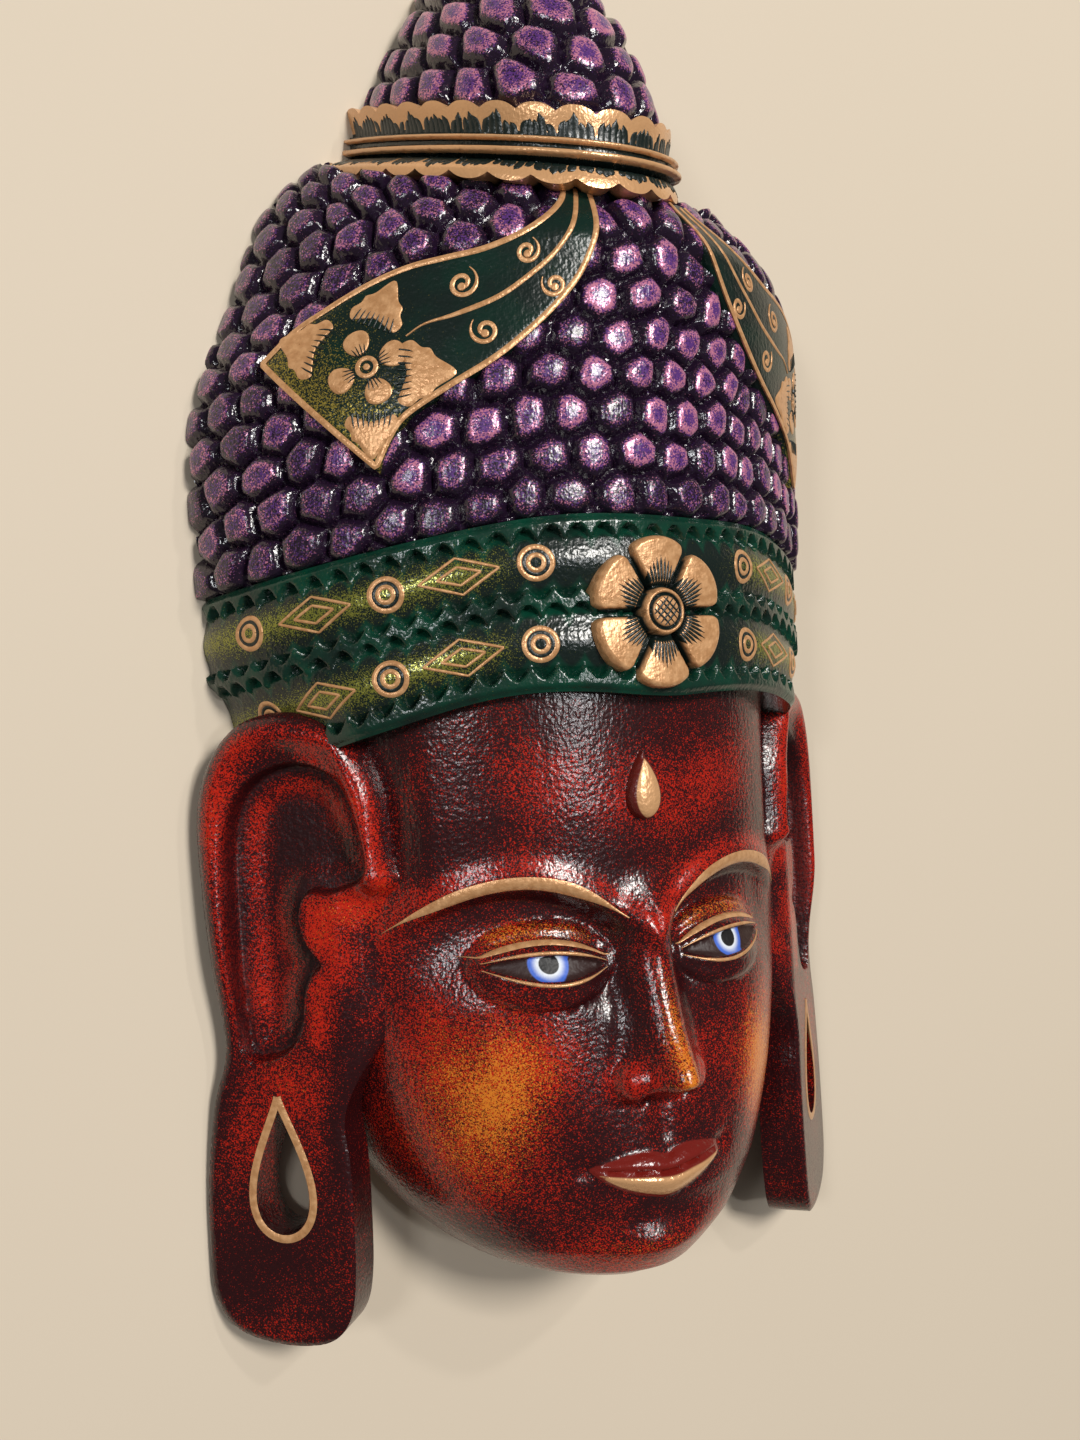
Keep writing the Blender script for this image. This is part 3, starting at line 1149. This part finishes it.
def circle(middle, radius, count=48):
    """Circle of places that ends where it starts."""
    turn = np.linspace(0, 2 * np.pi, count)
    return np.asarray(middle) + radius * np.stack([np.cos(turn), np.sin(turn)], axis=1)


def dot_outline(middle, radius):
    """Round outline of a painted dot: a circle without the repeat of its first place."""
    return circle(middle, radius, 20)[:-1]


def turned(points, angle, middle):
    """Places turned by an angle and moved so that their origin lies at a middle."""
    points = np.asarray(points, dtype=float)
    along = np.array([np.cos(angle), np.sin(angle)])
    beside = np.array([-np.sin(angle), np.cos(angle)])
    return np.asarray(middle) + points[:, :1] * along + points[:, 1:] * beside


def on_hair(points):
    """Places in plan as distance around the hair and level."""
    points = np.asarray(points, dtype=float)
    return np.stack([girth_of(points[:, 0]), points[:, 1]], axis=1)


RIBBON_VEIN = [
    (-13.5, 130), (-14.4, 126.4), (-19, 115), (-25, 106), (-32, 99.4), (-42, 92), (-54, 87), (-63, 84.4),
    (-68, 80.8)]
RIBBON_SCROLLS = [
    ((-53, 97), 5.6, 1.2, -1.45), ((-34, 106.5), 4.6, 1.2, -1.4), ((-46, 81), 5.2, 2.4, 1.35),
    ((-25, 95.5), 4.6, 2.6, 1.35)]
END_FLOWER = (-78.2, 71.8)
END_LEAVES = [
    ((-91, 79.5), 2.75, 1.15), ((-76.8, 87), 1.15, 1.05), ((-68.4, 68.6), -0.05, 1.2),
    ((-77.2, 54.5), -1.62, 0.95)]
END_LEAF = [
    (-1.5, -7.5), (1.5, -9.0), (4.2, -7.0), (6.5, -6.6), (8.2, -4.2), (13.5, 0), (8.2, 4.2), (6.5, 6.6),
    (4.2, 7.0), (1.5, 9.0), (-1.5, 7.5), (-0.5, 4), (0.6, 0), (-0.5, -4)]


def draw_ribbon(lines, side):
    """Gold border, vein, scrolls, end flower and leaves of one ribbon."""
    surface = ribbon_surface(side)
    sides = (side,)
    upper, lower = ribbon_edges(RIBBON_ROWS)
    inset = (1.4 / np.linalg.norm(upper - lower, axis=1))[:, None]
    border = np.concatenate([mix(upper, lower, inset)[:-1], mix(lower, upper, inset)[-2::-1]])
    lines.stroke(surface, border, 2.0, (1, 1), sides=sides)
    lines.stroke(surface, smooth_curve(on_hair(RIBBON_VEIN), 80), 1.7, (1, 0.3), sides=sides)
    for middle, radius, start, turns in RIBBON_SCROLLS:
        t = np.linspace(0, 1, 60)
        spiral = (radius * (1 - 0.78 * t**0.8))[:, None]
        turn = start + 2 * np.pi * turns * t
        place = on_hair([middle])[0] + spiral * np.stack([np.cos(turn), np.sin(turn)], axis=1)
        lines.stroke(surface, place, 1.5, (0.3, 1), sides=sides)
        lines.leaf(surface, dot_outline(place[-1], 1.35), place[-1], sides=sides)
    heart = on_hair([END_FLOWER])[0]
    lines.stroke(surface, circle(heart, 3.0), 1.5, (1, 1), sides=sides)
    lines.leaf(surface, dot_outline(heart, 1.1), heart, sides=sides)
    turn = np.linspace(0, 2 * np.pi, 35, endpoint=False)
    across = -4.3 * np.sin(turn) * (1 - 0.2 * np.cos(turn))
    petal = np.stack([8.8 - 4.4 * np.cos(turn), across], axis=1)
    for angle in 0.40 + np.pi / 2 * np.arange(4):
        lines.leaf(surface, turned(petal, angle, heart), turned([(8.8, 0)], angle, heart)[0], sides=sides)
        for beside in (-2.2, -0.75, 0.75, 2.2):
            hair = [(4.2, 0.55 * beside), (6.2, 0.8 * beside), (8.4 - 0.4 * abs(beside), beside)]
            lines.stroke(surface, turned(hair, angle, heart), 0.7, (1, 0.1), 0.5, 1.0, sides)
    outline = closed_curve(END_LEAF, 72)
    for middle, angle, size in END_LEAVES:
        place = on_hair([middle])[0]
        heart = turned([(4.5 * size, 0)], angle, place)[0]
        lines.leaf(surface, turned(size * outline, angle, place), heart, sides=sides)
        for beside in np.linspace(-6.5, 6.5, 8) * size:
            comb = [(-2.0, beside), (0.6, 0.95 * beside), (2.6, 0.88 * beside)]
            lines.stroke(surface, turned(comb, angle, place), 0.9, (1, 0.1), 0.5, 1.0, sides)


CIRCLE_GIRTHS = [-131, -82, -35, 48, 92, 138]
DIAMOND_GIRTHS = [-106, -59, 70, 115]
BAND_RINGS = [(5.2, 1.6, 0.3, 0.0), (3.9, 1.2, 0.1, 1.0), (2.5, 1.5, 0.3, 0.0)]


def band_tiers(girth):
    """Levels of the middles of the headband's two tiers at a distance around it."""
    return tier_middles(*band_lines(band_plan(np.interp(girth, BAND_GIRTHS, BAND_ANGLES))))


def draw_band(lines):
    """Gold rings and diamonds in turn along both tiers of the headband."""
    for tier in (0, 1):
        for girth in CIRCLE_GIRTHS:
            middle = np.array([girth, band_tiers(girth)[tier]])
            for radius, width, lift, ink in BAND_RINGS:
                lines.stroke(band_surface, circle(middle, radius), width, (1, 1), lift, ink, (1,))
        for girth in DIAMOND_GIRTHS:
            level = band_tiers(girth)[tier]
            slope = np.arctan(band_tiers(girth + 1)[tier] - level)
            for length, height in ((12.8, 6.0), (7.0, 3.0)):
                diamond = [(length, 0), (0, height), (-length, 0), (0, -height), (length, 0)]
                corners = turned(diamond, slope, (girth, level))
                for k in range(4):
                    lines.stroke(band_surface, corners[k:k + 2], 1.0, (0.8, 0.8), sides=(1,))


def draw_rings(lines):
    """Dark strokes that comb the gold leaves of both collars."""
    dice = np.random.default_rng(LEAF_DICE)
    reach = np.arange(-9, 10) * LEAF_PITCH
    for start, way, length in ((4.3, 1, 7.4), (-4.3, -1, 4.8)):
        for middle in reach + (0 if way > 0 else LEAF_PITCH / 2):
            for beside in np.linspace(-5.0, 5.0, 5) + dice.uniform(-0.6, 0.6, 5):
                tall = length * dice.uniform(0.65, 1.1) * (1 - 0.3 * abs(beside) / 5.2)
                bend = 0.28 * beside + dice.uniform(-0.5, 0.5)
                root = middle + beside
                half_up = start + way * 0.5 * tall
                comb = [(root, start), (root - 0.15 * bend, half_up), (root - bend, start + way * tall)]
                if abs(root) < RING_GIRTHS[-1] - 3:
                    lines.stroke(ring_surface, smooth_curve(comb, 9), 2.7, (1, 0.05), 0.25, 1.0, sides=(1,))


def draw_flower(lines):
    """Dark strokes that fan out from the middle of the flower over its petals, and a net on the middle."""
    inner = BOSS_RADIUS + 0.4
    for petal in (np.arange(PETALS) + 0.5) * 2 * np.pi / PETALS:
        for fan in np.linspace(-1, 1, 9):
            outer = inner + 9.6 - 4.2 * abs(fan) ** 1.3
            start = turned([(inner, 0)], petal + 0.40 * fan, (0, 0))[0]
            end = turned([(outer, 0)], petal + 0.36 * fan, (0, 0))[0]
            ray = np.stack([start, mix(start, end, 0.5), end])
            lines.stroke(flower_surface, ray, 0.95, (1, 0.1), 0.22, 1.0, (1,))
    for way in (0.8, 0.8 + np.pi / 2):
        for beside in (-2.6, -0.9, 0.9, 2.6):
            reach = np.sqrt(4.6**2 - beside**2)
            net = turned([(-reach, beside), (0, beside), (reach, beside)], way, (0, 0))
            lines.stroke(flower_surface, net, 0.7, (0.6, 0.6), 0.2, 1.0, (1,))


def draw_face(lines):
    """Gold brows and lid lines."""
    side = np.linspace(9, 80, 60)
    lines.stroke(face_surface, np.stack([-side, brow_line(side) + 1.0], axis=1), 4.2, (0.12, 0.05))
    side = np.linspace(EYE_X - EYE_HALF - 2, EYE_X + EYE_HALF + 5, 50)
    lines.stroke(face_surface, np.stack([-side, eye_lines(side)[2] - 1.6], axis=1), 1.6, (0.3, 0.15))
    side = np.linspace(EYE_X - EYE_HALF, EYE_X + EYE_HALF, 50)
    upper, lower = eye_lines(side)[:2]
    for edge in (upper + 1.1, lower - 1.1):
        lines.stroke(face_surface, np.stack([-side, edge], axis=1), 1.1, (0.3, 0.3))


def ear_surface(p, y):
    """Front of the left ear at a place of its slab."""
    top = ear_height(p, y, closed_curve(EAR_OUTLINE, 160), closed_curve(EAR_SHELL, 120))
    return ear_place(p, y, top)


def draw_ears(lines):
    """Gold line around the drop-shaped hole of each lobe."""
    ring = drop_outline(120, 1.5)
    lines.stroke(ear_surface, np.concatenate([ring, ring[:1]]), 2.7, (1, 1))


def make_linework(materials):
    """All painted lines and leaves in one mesh."""
    lines = Linework()
    for side in (1, -1):
        draw_ribbon(lines, side)
    draw_band(lines)
    draw_rings(lines)
    draw_flower(lines)
    draw_face(lines)
    draw_ears(lines)
    points = np.concatenate(lines.points)
    points[:, 2] = np.maximum(points[:, 2], 0)
    quads = np.concatenate(lines.quads)
    caps = np.concatenate(lines.caps)
    return new_object("gold_lines", points, quads, caps, {"ink": np.concatenate(lines.ink)}, materials)


def make_camera():
    """Camera from its place and its yaw, pitch and roll, looking down on the mask."""
    level = np.cos(CAMERA_PITCH)
    forward = np.array([np.sin(CAMERA_YAW) * level, np.sin(CAMERA_PITCH), -np.cos(CAMERA_YAW) * level])
    right = np.array([np.cos(CAMERA_YAW), 0, np.sin(CAMERA_YAW)])
    up = np.cross(right, forward)
    turned_right = np.cos(CAMERA_ROLL) * right + np.sin(CAMERA_ROLL) * up
    turned_up = -np.sin(CAMERA_ROLL) * right + np.cos(CAMERA_ROLL) * up
    data = bpy.data.cameras.new("camera")
    data.sensor_fit = "VERTICAL"
    data.sensor_height = SENSOR
    data.lens = LENS
    data.clip_start = 0.01
    camera = bpy.data.objects.new("camera", data)
    axes = np.column_stack([turned_right, turned_up, -forward])
    place = Matrix.Translation(Vector(CAMERA_PLACE) * MM)
    camera.matrix_world = place @ Matrix(axes.tolist()).to_4x4()
    bpy.context.scene.collection.objects.link(camera)
    bpy.context.scene.camera = camera


def make_light(name, place, size, power, colour):
    """Square soft light that faces the mask."""
    data = bpy.data.lights.new(name, "AREA")
    data.shape = "SQUARE"
    data.size = size
    data.energy = power
    data.color = colour
    light = bpy.data.objects.new(name, data)
    aim = Vector(LIGHT_TARGET) - Vector(place)
    facing = aim.to_track_quat("-Z", "Y").to_matrix().to_4x4()
    light.matrix_world = Matrix.Translation(Vector(place)) @ facing
    bpy.context.scene.collection.objects.link(light)


def make_studio(floor_material):
    """Pale floor under four soft lights, a key and a window above, a small spark beside them for the
    glints and a fill from the left, in pale surroundings."""
    corners = np.array([[-1, -1, 0], [1, -1, 0], [1, 1, 0], [-1, 1, 0]]) * FLOOR_SPAN
    mesh = bpy.data.meshes.new("floor")
    mesh.from_pydata((corners * MM).tolist(), [], [(0, 1, 2, 3)])
    mesh.materials.append(floor_material)
    floor = bpy.data.objects.new("floor", mesh)
    bpy.context.scene.collection.objects.link(floor)
    for light in LIGHTS:
        make_light(*light)
    world = bpy.data.worlds.new("studio")
    world.use_nodes = True
    background = world.node_tree.nodes["Background"]
    background.inputs["Color"].default_value = SURROUND_COLOUR
    background.inputs["Strength"].default_value = SURROUND_STRENGTH
    bpy.context.scene.world = world
    bpy.context.scene.view_settings.view_transform = "Standard"


class Tree:
    """Adds nodes to one node tree. Inputs go by socket name or number, as values or as other nodes'
    outputs."""

    def __init__(self, tree):
        self.tree = tree

    def feed(self, node, inputs):
        """Puts values or links into a node's inputs."""
        for key, value in inputs.items():
            if isinstance(value, bpy.types.NodeSocket):
                self.tree.links.new(value, node.inputs[key])
            else:
                node.inputs[key].default_value = value

    def add(self, kind, inputs=None, output=0, **settings):
        """One output of a new node."""
        node = self.tree.nodes.new(kind)
        for key, value in settings.items():
            setattr(node, key, value)
        self.feed(node, inputs or {})
        return node.outputs[output]

    def math(self, operation, *values, clamp=False):
        """Result of one operation on values."""
        return self.add("ShaderNodeMath", dict(enumerate(values)), operation=operation, use_clamp=clamp)

    def scaled(self, value, factor, offset=0.0):
        """Value times a factor plus an offset."""
        return self.math("MULTIPLY_ADD", value, factor, offset)

    def field(self, name):
        """A mesh's own value per point."""
        return self.add("ShaderNodeAttribute", output="Fac", attribute_name=name)

    def step(self, low, high, value):
        """Smooth step from 0 at low to 1 at high."""
        inputs = {"Value": value, "From Min": low, "From Max": high}
        return self.add("ShaderNodeMapRange", inputs, interpolation_type="SMOOTHSTEP")

    def blend(self, share, a, b):
        """Colour at a share of the way from a to b."""
        return self.add("ShaderNodeMix", {0: share, 6: a, 7: b}, output=2, data_type="RGBA")

    def noise(self, vector, scale, detail):
        """Cloudy value between 0 and 1."""
        return self.add("ShaderNodeTexNoise", {"Vector": vector, "Scale": scale, "Detail": detail}, "Fac")


def new_group(name, numbers, output):
    """Empty shader node group with a vector input, named number inputs and one named number output, with
    its input and output nodes."""
    group = bpy.data.node_groups.new(name, "ShaderNodeTree")
    group.interface.new_socket("Vector", in_out="INPUT", socket_type="NodeSocketVector")
    for socket in numbers:
        group.interface.new_socket(socket, in_out="INPUT", socket_type="NodeSocketFloat")
    group.interface.new_socket(output, in_out="OUTPUT", socket_type="NodeSocketFloat")
    return group, group.nodes.new("NodeGroupInput").outputs, group.nodes.new("NodeGroupOutput").inputs


def speckle_group():
    """Stippled paint: fine dots that are painted where their random value is under the coverage, with
    softer or harder edges by the slope."""
    group, given, made = new_group("paint_speckle", ("Coverage", "Grain", "Slope"), "Mask")
    tree = Tree(group)
    cells = tree.add("ShaderNodeTexVoronoi", {"Vector": given["Vector"], "Scale": given["Grain"]}, "Color")
    chance = tree.add("ShaderNodeSeparateColor", {"Color": cells}, "Red")
    cloud = tree.noise(given["Vector"], given["Grain"], 1.0)
    spread = tree.math("MULTIPLY_ADD", cloud, 2.4, -0.7, clamp=True)
    value = tree.scaled(chance, 0.5, tree.scaled(spread, 0.5))
    over = tree.math("SUBTRACT", given["Coverage"], value)
    mask = tree.math("MULTIPLY_ADD", over, given["Slope"], 0.5, clamp=True)
    group.links.new(mask, made["Mask"])
    return group


def grain_group():
    """Height of lacquer over wood: grit and long shallow streaks that run up the mask."""
    group, given, made = new_group("lacquer_grain", ("Grit",), "Height")
    tree = Tree(group)
    grit = tree.noise(given["Vector"], given["Grit"], 1.0)
    drawn = tree.add("ShaderNodeMapping", {"Vector": given["Vector"], "Scale": (700.0, 45.0, 700.0)})
    group.links.new(tree.scaled(tree.noise(drawn, 1.0, 2.0), 0.5, grit), made["Height"])
    return group


SPECKLE = speckle_group()
GRAIN = grain_group()


class Finish(Tree):
    """One material: a principled surface whose colour, gloss and bump are built by the functions below."""

    def __init__(self, name):
        self.material = bpy.data.materials.new(name)
        self.material.use_nodes = True
        super().__init__(self.material.node_tree)
        self.shader = self.tree.nodes["Principled BSDF"]
        self.at = self.add("ShaderNodeTexCoord", output="Object")

    def cloud(self, scale, detail):
        """Cloudy value over the piece."""
        return self.noise(self.at, scale, detail)

    def speckle(self, coverage, grain, slope=4.0):
        """Mask of stippled paint."""
        inputs = {"Vector": self.at, "Coverage": coverage, "Grain": grain, "Slope": slope}
        return self.add("ShaderNodeGroup", inputs, "Mask", node_tree=SPECKLE)

    def done(self, colour, metal, roughness, specular=0.5, bump=0.2, grit=GRIT):
        """The material with its colour, metal share, roughness, specular level and grain."""
        height = self.add("ShaderNodeGroup", {"Vector": self.at, "Grit": grit}, "Height", node_tree=GRAIN)
        relief = {"Strength": bump, "Distance": BUMP_DISTANCE, "Height": height}
        gloss = {"Metallic": metal, "Roughness": roughness, "Specular IOR Level": specular}
        normal = self.add("ShaderNodeBump", relief)
        self.feed(self.shader, {"Base Color": colour, "Normal": normal, **gloss})
        return self.material


def gilded(finish, dark):
    """Gold paint in brighter and duller patches, black-green where a mask is dark."""
    patches = finish.cloud(420.0, 3.0)
    gold = finish.blend(finish.step(0.35, 0.7, patches), DULL_GOLD, GOLD)
    colour = finish.blend(dark, gold, BLACK_GREEN)
    metal = finish.scaled(dark, -GOLD_METAL, GOLD_METAL)
    return finish.done(colour, metal, finish.scaled(patches, 0.3, 0.18), grit=FINE_GRIT)


def gold_paint():
    """Gold lines and leaves with dark strokes over them."""
    finish = Finish("gold_paint")
    return gilded(finish, finish.field("ink"))


def flower_gilding():
    """Gold flower with dark grooves around its middle and between its petals."""
    finish = Finish("flower_gilding")
    radius = finish.field("radius")
    dark = finish.step(1.7, 1.2, finish.field("gap"))
    for ring in (BOSS_RING, BOSS_RADIUS + 0.1):
        away = finish.math("ABSOLUTE", finish.math("SUBTRACT", radius, ring))
        dark = finish.math("MAXIMUM", dark, finish.step(0.9, 0.5, away))
    return gilded(finish, dark)


def curl_lacquer():
    """Dark plum curls, glossy in the gaps, dusted on top with violet and around that with pink."""
    finish = Finish("curl_lacquer")
    out = finish.field("peg_out")
    top = finish.step(0.82, 0.54, out)
    middle = finish.step(0.56, 0.10, out)
    lit = finish.math("MULTIPLY", top, finish.scaled(finish.field("peg_tone"), 0.56, 0.30))
    pink_share = finish.math("MULTIPLY", lit, finish.scaled(middle, -0.62, 0.80))
    pink = finish.speckle(pink_share, 2000.0)
    colour = finish.blend(finish.speckle(lit, 1700.0, 3.0), DARK_PLUM, VIOLET)
    colour = finish.blend(pink, colour, PINK)
    finish.feed(finish.shader, {"Coat Weight": 0.12, "Coat Roughness": 0.06})
    return finish.done(colour, finish.scaled(pink, 0.35), finish.scaled(top, 0.11, 0.16), 0.55, 0.3)


def skin_colours(finish):
    """Dark red-brown lacquer dusted with red and over it amber where the masks say."""
    drift = finish.scaled(finish.cloud(32.0, 3.0), 0.7, -0.35)
    red_cover = finish.scaled(finish.field("red"), 0.42, finish.math("ADD", drift, 0.14))
    amber_cover = finish.scaled(finish.field("amber"), 0.80, finish.math("ADD", drift, -0.10))
    colour = finish.blend(finish.speckle(red_cover, 2100.0, 3.2), MAROON, RED)
    return finish.blend(finish.speckle(amber_cover, 2300.0, 3.2), colour, AMBER)


def skin_lacquer():
    """Lacquer of the face with painted eyes and lips, the lower lip gilded."""
    finish = Finish("skin_lacquer")
    iris = finish.field("iris")
    within = finish.step(-0.15, 0.15, finish.field("opening"))
    eye = finish.blend(finish.step(6.9, 6.3, iris), EYE_BROWN, IRIS_BLUE)
    eye = finish.blend(finish.step(6.0, 3.4, iris), eye, IRIS_WHITE)
    eye = finish.blend(finish.step(3.5, 3.1, iris), eye, PUPIL_BLACK)
    colour = finish.blend(within, skin_colours(finish), eye)
    colour = finish.blend(finish.step(-0.2, 0.4, finish.field("lips")), colour, LIP_RED)
    gilt = finish.step(0.9, 1.5, finish.field("low_lip"))
    colour = finish.blend(gilt, colour, GOLD)
    return finish.done(colour, finish.scaled(gilt, GOLD_METAL), finish.scaled(within, 0.3, 0.22), bump=0.22)


def ear_lacquer():
    """Lacquer of the ears, nearly black in their hollows."""
    finish = Finish("ear_lacquer")
    shade = finish.field("shade")
    colour = finish.blend(finish.scaled(shade, 0.85), skin_colours(finish), DEEP_MAROON)
    return finish.done(colour, 0.0, finish.scaled(shade, 0.12, 0.22), 0.4, 0.22)


def band_lacquer():
    """Black-green headband with green borders and a spray of olive gold along its tiers."""
    finish = Finish("band_lacquer")
    worn = finish.step(0.25, 0.7, finish.cloud(60.0, 3.0))
    colour = finish.blend(finish.math("MULTIPLY", finish.field("border"), worn), BLACK_GREEN, GREEN)
    flecks = finish.speckle(finish.scaled(finish.field("spray"), 0.56, -0.02), 2600.0)
    colour = finish.blend(flecks, colour, OLIVE_GOLD)
    return finish.done(colour, finish.scaled(flecks, SPRAY_METAL), 0.22, 0.45, 0.22)


def ribbon_lacquer():
    """Black-green ribbon with a spray of gold towards its end."""
    finish = Finish("ribbon_lacquer")
    colour = finish.blend(finish.step(0.35, 0.75, finish.cloud(55.0, 3.0)), BLACK_GREEN, RIBBON_GREEN)
    flecks = finish.speckle(finish.scaled(finish.field("spray"), 0.46, -0.05), 2200.0)
    colour = finish.blend(flecks, colour, SPRAY_GOLD)
    return finish.done(colour, finish.scaled(flecks, SPRAY_METAL), 0.26, 0.3)


def ring_lacquer():
    """Black-green rings with gold rolls and leaves."""
    finish = Finish("ring_lacquer")
    gilt = finish.step(0.35, 0.55, finish.field("gilt"))
    colour = finish.blend(gilt, BLACK_GREEN, GOLD)
    return finish.done(colour, finish.scaled(gilt, GOLD_METAL), 0.26, grit=FINE_GRIT)


def drop_gilding():
    """Gold drop with red sides."""
    finish = Finish("drop_gilding")
    face = finish.step(1.7, 2.2, finish.field("face"))
    colour = finish.blend(face, DROP_RED, GOLD)
    return finish.done(colour, finish.scaled(face, GOLD_METAL), 0.34, bump=0.3)


def bare_wood():
    """Unpainted wood of the back, streaked along the mask."""
    finish = Finish("bare_wood")
    drawn = finish.add("ShaderNodeMapping", {"Vector": finish.at, "Scale": (220.0, 9.0, 220.0)})
    colour = finish.blend(finish.step(0.3, 0.7, finish.noise(drawn, 1.0, 4.0)), DARK_WOOD, PALE_WOOD)
    return finish.done(colour, 0.0, 0.75, bump=0.6)


def floor_paint():
    """Matt pale paint, a little cloudy."""
    finish = Finish("floor_paint")
    colour = finish.blend(finish.cloud(3.0, 2.0), FLOOR_DARKER, FLOOR_PALER)
    finish.feed(finish.shader, {"Base Color": colour, "Roughness": 0.7})
    return finish.material


make_camera()
make_studio(floor_paint())
wood = bare_wood()
curls = curl_lacquer()
ribbon_finish = ribbon_lacquer()
pieces = [
    make_face([skin_lacquer(), wood]),
    make_hair([curls, wood]),
    make_knot([curls, wood]),
    make_band([band_lacquer()]),
    make_rings([ring_lacquer()]),
    make_ribbon("ribbon_left", 1, [ribbon_finish]),
    make_ribbon("ribbon_right", -1, [ribbon_finish]),
    make_flower([flower_gilding()]),
    make_drop([drop_gilding()]),
    *make_ears([ear_lacquer()]),
    make_linework([gold_paint()]),
]
for piece in pieces:
    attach(piece, "root")
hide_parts("carved_mask")
